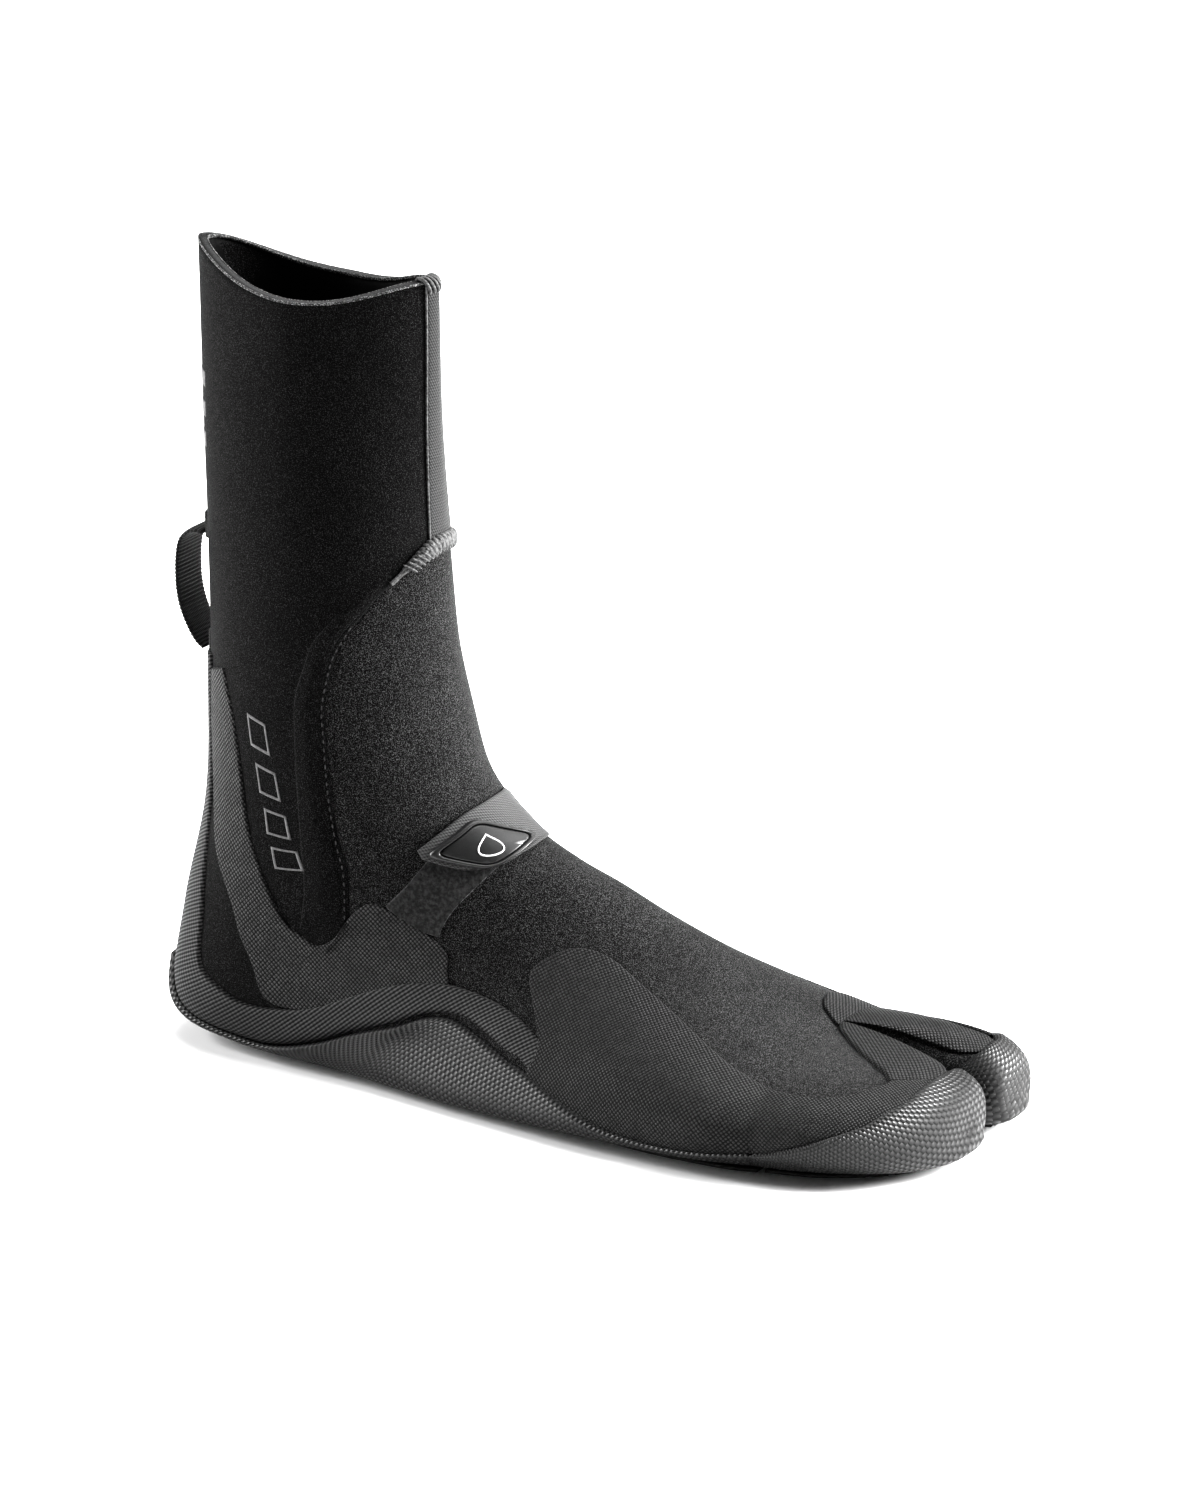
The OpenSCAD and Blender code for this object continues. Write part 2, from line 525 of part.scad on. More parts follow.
// Corners of the badge: outer end, upper side, inner end, lower side
BADGE = [[4.84, 47], [4.43, 22], [5.08, 0], [5.42, 31]];
BADGE_MID = (BADGE[0] + BADGE[1] + BADGE[2] + BADGE[3]) / 4;
rim_share = .78;
insert_share = .75;
function scaled(s) = [for (p = BADGE) BADGE_MID + (p - BADGE_MID) * s];
module diamond(s) let (c = scaled(s))
    patch([c[0], c[1]], [c[3], c[2]], strap_top - 1, strap_top + badge_t + 1, 6, 6);
module badge_sheet(thick)
    on_strap(strap_top, strap_top + thick, [0, strap_rows], [-2, strap_columns + 2]);
module badge_frame() color([.3, .3, .3]) mesh() difference() {
    intersection() {
        badge_sheet(badge_t);
        diamond(1);
    }
    diamond(rim_share);
}
module badge_insert() color([.35, .35, .35]) mesh() intersection() {
    badge_sheet(badge_t * insert_share);
    diamond(rim_share);
}
PILE_UPPER = [[4.42, 5], [4.6, 28], [5.0, 48], [5.5, 62]];
PILE_LOWER = [[5.25, 5], [5.45, 28], [5.9, 46], [6.4, 57]];
module pile_patch() color([.1, .1, .1]) in_foot() difference() {
    trim(PILE_UPPER, PILE_LOWER, trim_t, 10, 3);
    across(-1) flap_area();
}
ANCHOR_UPPER = [[strap_mid - half, -16], [4.5, -30], [4.95, -46], [5.5, -60]];
ANCHOR_LOWER = [[strap_mid + half, -16], [5.4, -30], [5.85, -46], [6.3, -58]];
module strap_anchor() color([.2, .2, .2]) in_foot() difference() {
    trim(ANCHOR_UPPER, ANCHOR_LOWER, strap_t, 10, 3);
    across(1) flap_area();
}

outsole();
sole_wall();
big_toe_cap();
outer_toe_cap();
heel_spine();
rand_lateral();
rand_medial();
ankle_strut_lateral();
ankle_strut_medial();
arch_flap_lateral();
arch_flap_medial();
toe_guard_lateral();
toe_guard_medial();
vamp_panel();
heel_panel();
footbed_panel();
outer_toe_sleeve();
big_toe_sleeve();
insole();
foot_lining();
pile_patch();
strap_anchor();
cuff_panel();
shaft_front_panel();
shaft_lining();
front_seam_tape();
front_bar_tack();
side_seam_lateral();
side_seam_medial();
shaft_strut_lateral();
shaft_strut_medial();
achilles_strip();
loop_tabs();
side_print();
back_print();
pull_loop();
instep_strap();
hook_pad();
badge_frame();
badge_insert();
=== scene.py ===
"""Split-toe neoprene boot: skins, overlays, moulded sole, seams, webbing and badge."""
import math

import bmesh
import bpy
import numpy as np
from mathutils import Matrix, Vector


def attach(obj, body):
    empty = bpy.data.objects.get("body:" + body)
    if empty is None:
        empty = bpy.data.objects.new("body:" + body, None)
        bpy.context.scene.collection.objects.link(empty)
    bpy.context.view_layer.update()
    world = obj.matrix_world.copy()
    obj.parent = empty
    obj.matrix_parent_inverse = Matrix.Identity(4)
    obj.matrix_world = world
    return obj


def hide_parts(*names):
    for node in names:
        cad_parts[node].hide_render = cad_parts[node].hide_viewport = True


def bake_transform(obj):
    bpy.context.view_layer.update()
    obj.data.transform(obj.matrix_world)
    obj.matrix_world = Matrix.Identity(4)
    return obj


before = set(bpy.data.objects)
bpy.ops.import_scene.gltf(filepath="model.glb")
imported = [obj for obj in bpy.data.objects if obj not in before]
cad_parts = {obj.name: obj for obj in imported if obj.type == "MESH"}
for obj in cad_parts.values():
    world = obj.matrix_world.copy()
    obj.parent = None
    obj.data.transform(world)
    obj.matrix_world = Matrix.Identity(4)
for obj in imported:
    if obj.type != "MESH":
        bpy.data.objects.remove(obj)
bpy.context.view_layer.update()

MM = 0.001
HEEL_TO_AXIS = 50.0
CROTCH_X, CROTCH_Y, CROTCH_Z = 220.0, 7.5, 31.0
RIM_DIP = 9.0
SOLE_Z = 3.0

# Back point x z, front point x z, outer and inner half width, centre y, share of the ring
# behind its widest line, front and back roundness; from the cuff down to the toe crotch
STATIONS = np.array([
    [4.2, 250, 86.2, 245.5, 21, 21, 0, .50, 1.5, 1.6],
    [6.2, 200, 86.5, 200, 24, 24, 0, .50, 1.6, 1.8],
    [8.5, 155, 88.5, 160, 28, 28, 0, .50, 1.8, 1.9],
    [9.5, 116, 91.5, 127, 31, 31, 0, .48, 1.9, 1.9],
    [9, 78, 101, 92.7, 33, 33, 0, .46, 2.0, 2.0],
    [2, 42, 116, 77.5, 34, 34, 0, .44, 2.0, 2.3],
    [2, 11, 132, 69.5, 34, 33, 1, .40, 2.0, 3.2],
    [28, 3, 146, 63.5, 34, 32, 3, .38, 2.0, 4.5],
    [72, 3, 161, 56, 36, 31, 5, .36, 2.0, 5.6],
    [116, 3, 178, 48, 43, 34, 7, .36, 2.0, 6.0],
    [158, 3, 195, 40.7, 52, 40, 8, .37, 2.1, 5.2],
    [195, 3, 209, 34.8, 56, 43, 8, .38, 2.2, 4.4],
    [220, 3, 220, 31, 52.5, 43, 7.5, .40, 2.3, 3.8]])
LAST_U = len(STATIONS) - 1.0
OUTER_TOES = dict(tip=(269.5, -8, 14), edge=-52.5, side=-1, outer=.80, inner=.28, top=.45)
BIG_TOE = dict(tip=(267.5, 26, 12.5), edge=43, side=1, outer=.40, inner=.32, top=.70)
TOE_GAP = 8.0

# Sheets, in millimetres: how thick their backs are, and how high they stand on the last
REAR_BACK, FRONT_BACK, LINING_BACK, LINING_DEPTH = 2.6, 2.4, .35, 3.0
OVERLAY_BACK, GUARD_HIGH, STRUT_HIGH, BAND_HIGH = .4, .95, .75, 1.15
MOULD_HIGH, MOULD_BACK, FLOOR_CLEAR = 2.0, 1.2, .25


# ---- The last's surface, in millimetres of the part's frame ----
def catmull(table, u):
    n = len(table) - 1
    u = np.clip(np.asarray(u, float), 0, n)
    i = np.minimum(u.astype(int), n - 1)
    t = (u - i)[..., None]
    b, c = table[i], table[i + 1]
    a = np.where((i == 0)[..., None], 2 * b - c, table[np.maximum(i - 1, 0)])
    d = np.where((i == n - 1)[..., None], 2 * c - b, table[np.minimum(i + 2, n)])
    return (2 * b + (c - a) * t + (2 * a - 5 * b + 4 * c - d) * t ** 2
            + (3 * b - a - 3 * c + d) * t ** 3) / 2


def lobe(c, s, n):
    return (np.abs(c) ** n + np.abs(s) ** n) ** (-1 / n)


def last(u, v, off=0.0):
    u, v, off = np.broadcast_arrays(np.asarray(u, float), np.asarray(v, float), off)
    q = catmull(STATIONS, u)
    d = q[..., 2:4] - q[..., 0:2]
    length = np.hypot(d[..., 0], d[..., 1])
    e = d / length[..., None]
    c, s = np.cos(np.radians(v)), np.sin(np.radians(v))
    front = c >= 0
    r = lobe(c, s, np.where(front, q[..., 8], q[..., 9]))
    a = (np.where(front, 1 - q[..., 7], q[..., 7]) * length + off) * r * c
    w = (np.where(s >= 0, q[..., 4] + q[..., 6], q[..., 5] - q[..., 6]) + off) * r * s
    dip = RIM_DIP * s ** 2 * np.clip(1 - u, 0, 1)
    x = q[..., 0] + q[..., 7] * d[..., 0] + e[..., 0] * a - HEEL_TO_AXIS
    z = q[..., 1] + q[..., 7] * d[..., 1] + e[..., 1] * a - dip
    return np.stack([x, q[..., 6] - w, z], -1)


def toe(T, phi, v, off=0.0):
    phi, v, off = np.broadcast_arrays(np.asarray(phi, float), np.asarray(v, float), off)
    k = np.maximum(np.cos(np.radians(phi)), 1e-6)
    s = np.sin(np.radians(np.clip(phi, 0, 90)))
    tx, ty, tz = T["tip"]
    gap = CROTCH_Y + T["side"] * TOE_GAP / 2 * s ** .7
    outer = ty + (T["edge"] - ty) * k ** T["outer"]
    inner = ty + (gap - ty) * k ** T["inner"]
    low, high = np.minimum(outer, inner), np.maximum(outer, inner)
    mid = CROTCH_Y + T["side"] * .5 + (ty - CROTCH_Y) * np.minimum(1.3 * s, 1) ** 1.5
    yc = np.clip(mid, low, high)
    bottom = tz - (tz - SOLE_Z) * k ** .35
    h = tz + (CROTCH_Z - tz) * k ** T["top"] - bottom
    lift = .40 + .05 * s
    c, sv = np.cos(np.radians(v)), np.sin(np.radians(v))
    front = c >= 0
    r = lobe(c, sv, np.where(front, 2.3 + .1 * s, 3.8 - 1.2 * s))
    a = (np.where(front, 1 - lift, lift) * h + off) * r * c
    w = (np.where(sv >= 0, yc - low, high - yc) + off) * r * sv
    x = CROTCH_X + (tx - CROTCH_X + off) * s - HEEL_TO_AXIS
    return np.stack([x, yc - w, bottom + lift * h + a], -1)


def foot(w, v, off=0.0, T=None):
    """Station w up to the crotch, then on over toe pocket T, w 12 to 13 for 0 to 90 degrees."""
    w, v, off = np.broadcast_arrays(np.asarray(w, float), np.asarray(v, float), off)
    P = last(w, v, off)
    if T is not None:
        over = w > LAST_U
        P[over] = toe(T, (w[over] - LAST_U) * 90, v[over], off[over])
    return P


# ---- Grids and meshes ----
def lengths(path):
    """Length along a path at each of its points."""
    return np.concatenate([[0], np.cumsum(np.linalg.norm(np.diff(path, axis=0), axis=1))])


def dense(points, T=None, n=240):
    """A smooth curve through [w, v] points, as a function of its share of length."""
    table = np.array(points, float)
    if len(table) == 2:
        wv = table[0] + np.linspace(0, 1, n)[:, None] * (table[1] - table[0])
    else:
        wv = catmull(table, np.linspace(0, len(table) - 1, n))
    P = foot(wv[:, 0], wv[:, 1], 0, T)
    s = lengths(P)
    s += np.linspace(0, 1e-6, n)
    q = s / s[-1]
    return (lambda t: np.stack([np.interp(t, q, wv[:, 0]), np.interp(t, q, wv[:, 1])], -1)), s[-1]


LIP = np.array([[0, 0], [.10, .42], [.32, .80], [.65, .95]])


def steps(n, length, lip, first, last_one):
    """Shares along a line with extra steps at a rounded lip, and the lip's height there."""
    lip = min(lip, .3 * length)
    a = lip / length if first else 0
    b = 1 - lip / length if last_one else 1
    q, h = np.linspace(a, b, n), np.ones(n)
    if first:
        q, h = np.concatenate([LIP[:, 0] * a, q]), np.concatenate([LIP[:, 1], h])
    if last_one:
        q = np.concatenate([q, 1 - LIP[::-1, 0] * (1 - b)])
        h = np.concatenate([h, LIP[::-1, 1]])
    return q, h


def coons(top, bottom, start=None, rows=60, cols=12, lip=.8, soft="tbse", T=None):
    """Grid of [w, v] inside four curves, with the height share (0 at a rounded border)."""
    ft, lt = dense(top, T)
    fb, lb = dense(bottom, T)
    fs, _ = dense(start or [top[0], bottom[0]], T)
    fe, _ = dense([top[-1], bottom[-1]], T)
    q, hq = steps(rows, (lt + lb) / 2, lip, "s" in soft, "e" in soft)
    c00, c10, c01, c11 = (np.array(p, float) for p in (top[0], top[-1], bottom[0], bottom[-1]))

    def at(Q, R):
        q1, r1 = Q[..., None], R[..., None]
        return ((1 - r1) * ft(Q) + r1 * fb(Q) + (1 - q1) * fs(R) + q1 * fe(R)
                - ((1 - q1) * (1 - r1) * c00 + q1 * (1 - r1) * c10
                   + (1 - q1) * r1 * c01 + q1 * r1 * c11))
    WV, H = [], []
    for qi, hi in zip(q, hq):
        line = at(np.full(24, qi), np.linspace(0, 1, 24))
        P = foot(line[:, 0], line[:, 1], 0, T)
        width = max(np.linalg.norm(np.diff(P, axis=0), axis=1).sum(), .05)
        r, hr = steps(cols, width, lip, "t" in soft, "b" in soft)
        WV.append(at(np.full(len(r), qi), r))
        H.append(np.minimum(hi, hr))
    return np.array(WV), np.array(H)


def in_edit_mode(obj, operator, **values):
    """Runs a mesh operator on the whole of obj."""
    activate(obj)
    bpy.ops.object.mode_set(mode="EDIT")
    bpy.ops.mesh.select_all(action="SELECT")
    operator(**values)
    bpy.ops.object.mode_set(mode="OBJECT")
    return obj


def clear_selection():
    if bpy.context.object and bpy.context.object.mode != "OBJECT":
        bpy.ops.object.mode_set(mode="OBJECT")
    bpy.ops.object.select_all(action="DESELECT")


def activate(obj):
    clear_selection()
    obj.select_set(True)
    bpy.context.view_layer.objects.active = obj
    return obj


def apply_modifiers(obj):
    activate(obj)
    for m in list(obj.modifiers):
        bpy.ops.object.modifier_apply(modifier=m.name)
    return obj


def new_object(name, verts, faces):
    mesh = bpy.data.meshes.new(name)
    mesh.from_pydata([tuple(p) for p in verts], [], [tuple(f) for f in faces])
    mesh.update()
    obj = bpy.data.objects.new(name, mesh)
    bpy.context.scene.collection.objects.link(obj)
    return obj


def set_attribute(obj, name, values):
    a = obj.data.attributes.get(name) or obj.data.attributes.new(name, "FLOAT", "POINT")
    a.data.foreach_set("value", np.asarray(values, np.float32).ravel())


def grid_faces(R, C, ring=False, flip=False, start=0):
    faces = []
    for i in range(R - 1):
        for j in range(C if ring else C - 1):
            k = (j + 1) % C
            f = (start + i * C + j, start + i * C + k, start + (i + 1) * C + k,
                 start + (i + 1) * C + j)
            faces.append(f[::-1] if flip else f)
    return faces


def facing(P, Q, ring=False):
    """True if a grid's faces look towards Q, the same grid further out."""
    a = np.roll(P, -1, 1) - P if ring else P[:, 1:] - P[:, :-1]
    b = P[1:] - P[:-1]
    a = a[:-1]
    b = b if ring else b[:, :-1]
    out = (Q - P)[:-1] if ring else (Q - P)[:-1, :-1]
    return (np.cross(a, b) * out).sum() > 0


def grid_object(name, P, Q, ring=False, uv=None, marks=None):
    """Mesh of a grid of points P in millimetres that faces the grid Q."""
    R, C = P.shape[:2]
    flip = not facing(P, Q, ring)
    faces = grid_faces(R, C, ring, flip)
    obj = new_object(name, P.reshape(-1, 3) * MM, faces)
    if uv is not None:
        layer = obj.data.uv_layers.new(name="UVMap")
        idx = np.empty(len(obj.data.loops), np.int32)
        obj.data.loops.foreach_get("vertex_index", idx)
        layer.data.foreach_set("uv", uv.reshape(-1, 2)[idx].astype(np.float32).ravel())
    for key, values in (marks or {}).items():
        set_attribute(obj, key, values)
    obj.data.polygons.foreach_set("use_smooth", [True] * len(obj.data.polygons))
    return obj


def lifted(WV, off, T=None):
    """The points off millimetres above the last at [w, v], and the same a millimetre further out."""
    return foot(WV[..., 0], WV[..., 1], off, T), foot(WV[..., 0], WV[..., 1], off + 1, T)


def pressed(name, WV, H, high, T=None, tuck=.35):
    """A sheet lying on the last: height share H times high, tucked under at its borders."""
    # The lip mark also drives the painted shadow along the border in the sheet materials.
    return grid_object(name, *lifted(WV, H * (high + tuck) - tuck, T), marks={"lip": 1 - H})


def backed(obj, thick):
    """Gives a sheet its real back, thick millimetres in."""
    m = obj.modifiers.new("back", "SOLIDIFY")
    m.thickness = thick * MM
    m.offset = -1
    return apply_modifiers(obj)


def unwrap(obj, turn=0.0):
    """Flattens a sheet as cut from flat stock: UVs in millimetres, U along +X as far as it can."""
    in_edit_mode(obj, bpy.ops.uv.unwrap, method="ANGLE_BASED", margin=0)
    me = obj.data
    layer = me.uv_layers.active
    n = len(me.loops)
    uv = np.empty(2 * n)
    layer.data.foreach_get("uv", uv)
    uv = uv.reshape(-1, 2)
    vi = np.empty(n, np.int32)
    me.loops.foreach_get("vertex_index", vi)
    co = np.array([v.co for v in me.vertices]) * 1000
    p = co[vi]
    nxt = np.arange(n) + 1
    for f in me.polygons:
        nxt[f.loop_start + f.loop_total - 1] = f.loop_start
    dp, du = p[nxt] - p, uv[nxt] - uv
    scale = np.median(np.linalg.norm(dp, axis=1)) / max(np.median(np.linalg.norm(du, axis=1)), 1e-9)
    A, *_ = np.linalg.lstsq(uv - uv.mean(0), (p - p.mean(0))[:, [0, 2]], rcond=None)
    a = math.atan2(A[0, 1] - A[1, 0], A[0, 0] + A[1, 1])
    mirrored = np.linalg.det(A) < 0
    if mirrored:
        a = math.atan2(A[0, 1] + A[1, 0], A[0, 0] - A[1, 1])
        uv = uv * [1, -1]
    a += math.radians(turn)
    c, s = math.cos(a), math.sin(a)
    uv = (uv - uv.mean(0)) @ np.array([[c, s], [-s, c]]) * scale
    layer.data.foreach_set("uv", uv.astype(np.float32).ravel())
    return obj


def joined(name, parts):
    """One object from several."""
    activate(parts[0])
    for p in parts[1:]:
        p.select_set(True)
    if len(parts) > 1:
        bpy.ops.object.join()
    obj = bpy.context.object
    obj.name = name
    obj.data.name = name
    return obj


def welded(obj, dist=.02):
    return in_edit_mode(obj, bpy.ops.mesh.remove_doubles, threshold=dist * MM)


def mirrored_v(points):
    return [[w, -v] for w, v in points]


LOOP_BEND = ("shaft", "pull_loop", (-.0468, 0, .141), (-.0508, 0, .141))


def finish(obj, material, body=None, bend=False, replaces=()):
    obj.data.materials.clear()
    obj.data.materials.append(material)
    if bend:
        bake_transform(obj)
    else:
        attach(obj, body)
    if replaces:
        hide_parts(*replaces)
    return obj


# ---- Materials ----
def new_group(name, inputs, outputs):
    group = bpy.data.node_groups.new(name, "ShaderNodeTree")
    for label, kind, value in inputs:
        socket = group.interface.new_socket(name=label, in_out="INPUT", socket_type=kind)
        if value is not None:
            socket.default_value = value
    for label, kind in outputs:
        group.interface.new_socket(name=label, in_out="OUTPUT", socket_type=kind)
    a = group.nodes.new("NodeGroupInput")
    b = group.nodes.new("NodeGroupOutput")
    return group, a.outputs, b.inputs


def node(tree, kind, **values):
    n = tree.nodes.new(kind)
    for key, value in values.items():
        setattr(n, key, value)
    return n


def math_node(tree, operation, a, b=None):
    n = node(tree, "ShaderNodeMath", operation=operation)
    for socket, value in zip(n.inputs, (a, b)):
        if value is None:
            continue
        if isinstance(value, (int, float)):
            socket.default_value = value
        else:
            tree.links.new(value, socket)
    return n.outputs[0]


def map_range(tree, value, low, high, out_low=0.0, out_high=1.0):
    n = node(tree, "ShaderNodeMapRange", interpolation_type="SMOOTHSTEP")
    tree.links.new(value, n.inputs["Value"])
    for label, number in (("From Min", low), ("From Max", high), ("To Min", out_low),
                          ("To Max", out_high)):
        if isinstance(number, (int, float)):
            n.inputs[label].default_value = number
        else:
            tree.links.new(number, n.inputs[label])
    return n.outputs["Result"]


def mix_colour(tree, factor, a, b):
    n = node(tree, "ShaderNodeMix", data_type="RGBA")
    for socket, value in ((n.inputs[0], factor), (n.inputs[6], a), (n.inputs[7], b)):
        if isinstance(value, (int, float)):
            socket.default_value = value
        elif isinstance(value, (tuple, list)):
            socket.default_value = (*value[:3], 1)
        else:
            tree.links.new(value, socket)
    return n.outputs[2]


def noise(tree, vector, scale, detail=2.0, rough=.5):
    n = node(tree, "ShaderNodeTexNoise")
    tree.links.new(vector, n.inputs["Vector"])
    if isinstance(scale, (int, float)):
        n.inputs["Scale"].default_value = scale
    else:
        tree.links.new(scale, n.inputs["Scale"])
    n.inputs["Detail"].default_value = detail
    n.inputs["Roughness"].default_value = rough
    return n.outputs["Fac"]


def build_fleck():
    """Knit jersey: dark ground with lighter fibre flecks, per metre of object space."""
    g, i, o = new_group("knit_fleck", [
        ("Ground", "NodeSocketColor", (.01, .01, .01, 1)), ("Fleck", "NodeSocketColor", (.1, .1, .1, 1)),
        ("Amount", "NodeSocketFloat", .5), ("Grain", "NodeSocketFloat", 1500)],
        [("Color", "NodeSocketColor"), ("Height", "NodeSocketFloat"), ("Rough", "NodeSocketFloat")])
    p = node(g, "ShaderNodeTexCoord").outputs["Object"]
    fine = noise(g, p, i["Grain"], 3, .7)
    broad = noise(g, p, 60, 2)
    low = math_node(g, "SUBTRACT", .60, math_node(g, "MULTIPLY", i["Amount"], .14))
    mask = map_range(g, fine, low, math_node(g, "ADD", low, .17))
    tone = math_node(g, "MULTIPLY", mask, map_range(g, broad, .2, .8, .75, 1.0))
    g.links.new(mix_colour(g, tone, i["Ground"], i["Fleck"]), o["Color"])
    g.links.new(fine, o["Height"])
    g.links.new(map_range(g, fine, .3, .7, .92, .62), o["Rough"])
    return g


def uv_vector(tree, turn, size):
    """The piece's own UV, which is in millimetres, turned and divided into cells."""
    uv = node(tree, "ShaderNodeUVMap", uv_map="UVMap").outputs["UV"]
    m = node(tree, "ShaderNodeMapping")
    m.inputs["Rotation"].default_value = (0, 0, math.radians(turn))
    tree.links.new(uv, m.inputs["Vector"])
    v = node(tree, "ShaderNodeVectorMath", operation="DIVIDE")
    tree.links.new(m.outputs["Vector"], v.inputs[0])
    tree.links.new(size, v.inputs[1])
    return v.outputs["Vector"]


def uv_cells(tree, size, vector=None):
    """The piece's UV, or vector, divided into cells: along and across."""
    if vector is None:
        vector = node(tree, "ShaderNodeUVMap", uv_map="UVMap").outputs["UV"]
    cells = node(tree, "ShaderNodeVectorMath", operation="DIVIDE")
    tree.links.new(vector, cells.inputs[0])
    tree.links.new(size, cells.inputs[1])
    xyz = node(tree, "ShaderNodeSeparateXYZ")
    tree.links.new(cells.outputs[0], xyz.inputs[0])
    return xyz.outputs[0], xyz.outputs[1]


def half_waves(tree, value):
    """One rounded ridge for each whole step of value."""
    return math_node(tree, "ABSOLUTE", math_node(tree, "SINE", math_node(tree, "MULTIPLY", value, math.pi)))


def build_dots():
    """Raised dots in a staggered grid."""
    g, i, o = new_group("raised_dots", [("Pitch", "NodeSocketVector", (1, 1, 1))],
                        [("Height", "NodeSocketFloat"), ("Dot", "NodeSocketFloat")])
    v = uv_vector(g, 45, i["Pitch"])
    cell = node(g, "ShaderNodeTexVoronoi", voronoi_dimensions="2D")
    cell.inputs["Scale"].default_value = 1
    cell.inputs["Randomness"].default_value = .12
    g.links.new(v, cell.inputs["Vector"])
    dot = map_range(g, cell.outputs["Distance"], .52, .16)
    g.links.new(dot, o["Dot"])
    g.links.new(dot, o["Height"])
    return g


def build_ribs():
    """Fine parallel ribs along V, broken up a little."""
    g, i, o = new_group("fine_ribs", [("Pitch", "NodeSocketVector", (1, 1, 1)),
                                      ("Turn", "NodeSocketFloat", 0)],
                        [("Height", "NodeSocketFloat")])
    uv = node(g, "ShaderNodeUVMap", uv_map="UVMap").outputs["UV"]
    turned = node(g, "ShaderNodeVectorRotate", rotation_type="Z_AXIS")
    g.links.new(uv, turned.inputs["Vector"])
    g.links.new(i["Turn"], turned.inputs["Angle"])
    along, across = uv_cells(g, i["Pitch"], turned.outputs[0])
    rib = math_node(g, "SINE", math_node(g, "MULTIPLY", along, 2 * math.pi))
    knot = math_node(g, "SINE", math_node(g, "MULTIPLY", across, 2 * math.pi))
    both = math_node(g, "ADD", math_node(g, "MULTIPLY", rib, .36),
                     math_node(g, "MULTIPLY", knot, .14))
    g.links.new(math_node(g, "ADD", both, .5), o["Height"])
    return g


def build_knurl():
    """Moulded knurl: rows of rounded scales, each row set over by half a scale."""
    g, i, o = new_group("moulded_knurl", [("Pitch", "NodeSocketVector", (1, 1, 1)),
                                          ("Scales", "NodeSocketFloat", 1)],
                        [("Height", "NodeSocketFloat")])
    along, across = uv_cells(g, i["Pitch"])
    row = math_node(g, "FLOOR", across)
    shift = math_node(g, "MULTIPLY", math_node(g, "PINGPONG", row, 1), .5)
    col = math_node(g, "ADD", along, math_node(g, "MULTIPLY", shift, i["Scales"]))
    ridge = half_waves(g, col)
    up = math_node(g, "FRACT", across)
    scale_shape = math_node(g, "SUBTRACT", 1, math_node(g, "MULTIPLY", i["Scales"],
                            math_node(g, "MULTIPLY", math_node(g, "SUBTRACT", 1, up), .75)))
    g.links.new(math_node(g, "MULTIPLY", ridge, scale_shape), o["Height"])
    return g


def build_twill():
    """Woven webbing: ribs across with slanted yarns on them."""
    g, i, o = new_group("webbing_weave", [("Pitch", "NodeSocketVector", (1, 1, 1))],
                        [("Height", "NodeSocketFloat"), ("Yarn", "NodeSocketFloat")])
    along, across = uv_cells(g, i["Pitch"])
    rib = half_waves(g, along)
    yarn = half_waves(g, math_node(g, "ADD", across, math_node(g, "MULTIPLY", along, .5)))
    g.links.new(yarn, o["Yarn"])
    g.links.new(math_node(g, "ADD", math_node(g, "MULTIPLY", rib, .6),
                          math_node(g, "MULTIPLY", yarn, .4)), o["Height"])
    return g


def build_edge_shade():
    """How near the sheet's rounded border is, from the piece's own mark, used as painted shadow along that
    edge; and wear noise.
    """
    g, _, o = new_group("sheet_border", [], [("EdgeShade", "NodeSocketFloat"), ("Wear", "NodeSocketFloat")])
    mark = node(g, "ShaderNodeAttribute", attribute_name="lip").outputs["Fac"]
    p = node(g, "ShaderNodeTexCoord").outputs["Object"]
    # Painted shadow: this mask darkens each sheet's tucked border, where it meets the surface below, as the
    # shade in that gap.
    g.links.new(map_range(g, mark, .60, 1.0), o["EdgeShade"])
    g.links.new(map_range(g, noise(g, p, 220, 3), .35, .7), o["Wear"])
    return g


# EDGE_SHADE carries the painted shadow along sheet borders, and the wear noise.
FLECK, DOTS, RIBS, KNURL, TWILL, EDGE_SHADE = (
    build_fleck(), build_dots(), build_ribs(), build_knurl(), build_twill(), build_edge_shade())


def use(tree, group, **values):
    n = node(tree, "ShaderNodeGroup", node_tree=group)
    for key, value in values.items():
        socket = n.inputs[key]
        if isinstance(value, (int, float)):
            socket.default_value = value
        elif isinstance(value, (tuple, list)):
            socket.default_value = value if len(value) == len(socket.default_value) else (*value, 1)
        else:
            tree.links.new(value, socket)
    return n.outputs


def material(name, rough=.6, sheen=0.0, sheen_rough=.5, spec=.5):
    m = bpy.data.materials.new(name)
    m.use_nodes = True
    b = m.node_tree.nodes["Principled BSDF"]
    b.inputs["Roughness"].default_value = rough
    b.inputs["Sheen Weight"].default_value = sheen
    b.inputs["Sheen Roughness"].default_value = sheen_rough
    b.inputs["Specular IOR Level"].default_value = spec
    return m, m.node_tree, b


def bump(tree, bsdf, height, depth):
    n = node(tree, "ShaderNodeBump")
    n.inputs["Strength"].default_value = 1.0
    n.inputs["Distance"].default_value = depth * MM
    tree.links.new(height, n.inputs["Height"])
    tree.links.new(n.outputs["Normal"], bsdf.inputs["Normal"])


def jersey(name, ground, fleck, amount, grain=1500, depth=.12):
    m, t, b = material(name, sheen=.05, sheen_rough=.45, spec=.07)
    f = use(t, FLECK, Ground=ground, Fleck=fleck, Amount=amount, Grain=grain)
    t.links.new(f["Color"], b.inputs["Base Color"])
    t.links.new(f["Rough"], b.inputs["Roughness"])
    bump(t, b, f["Height"], depth)
    return m


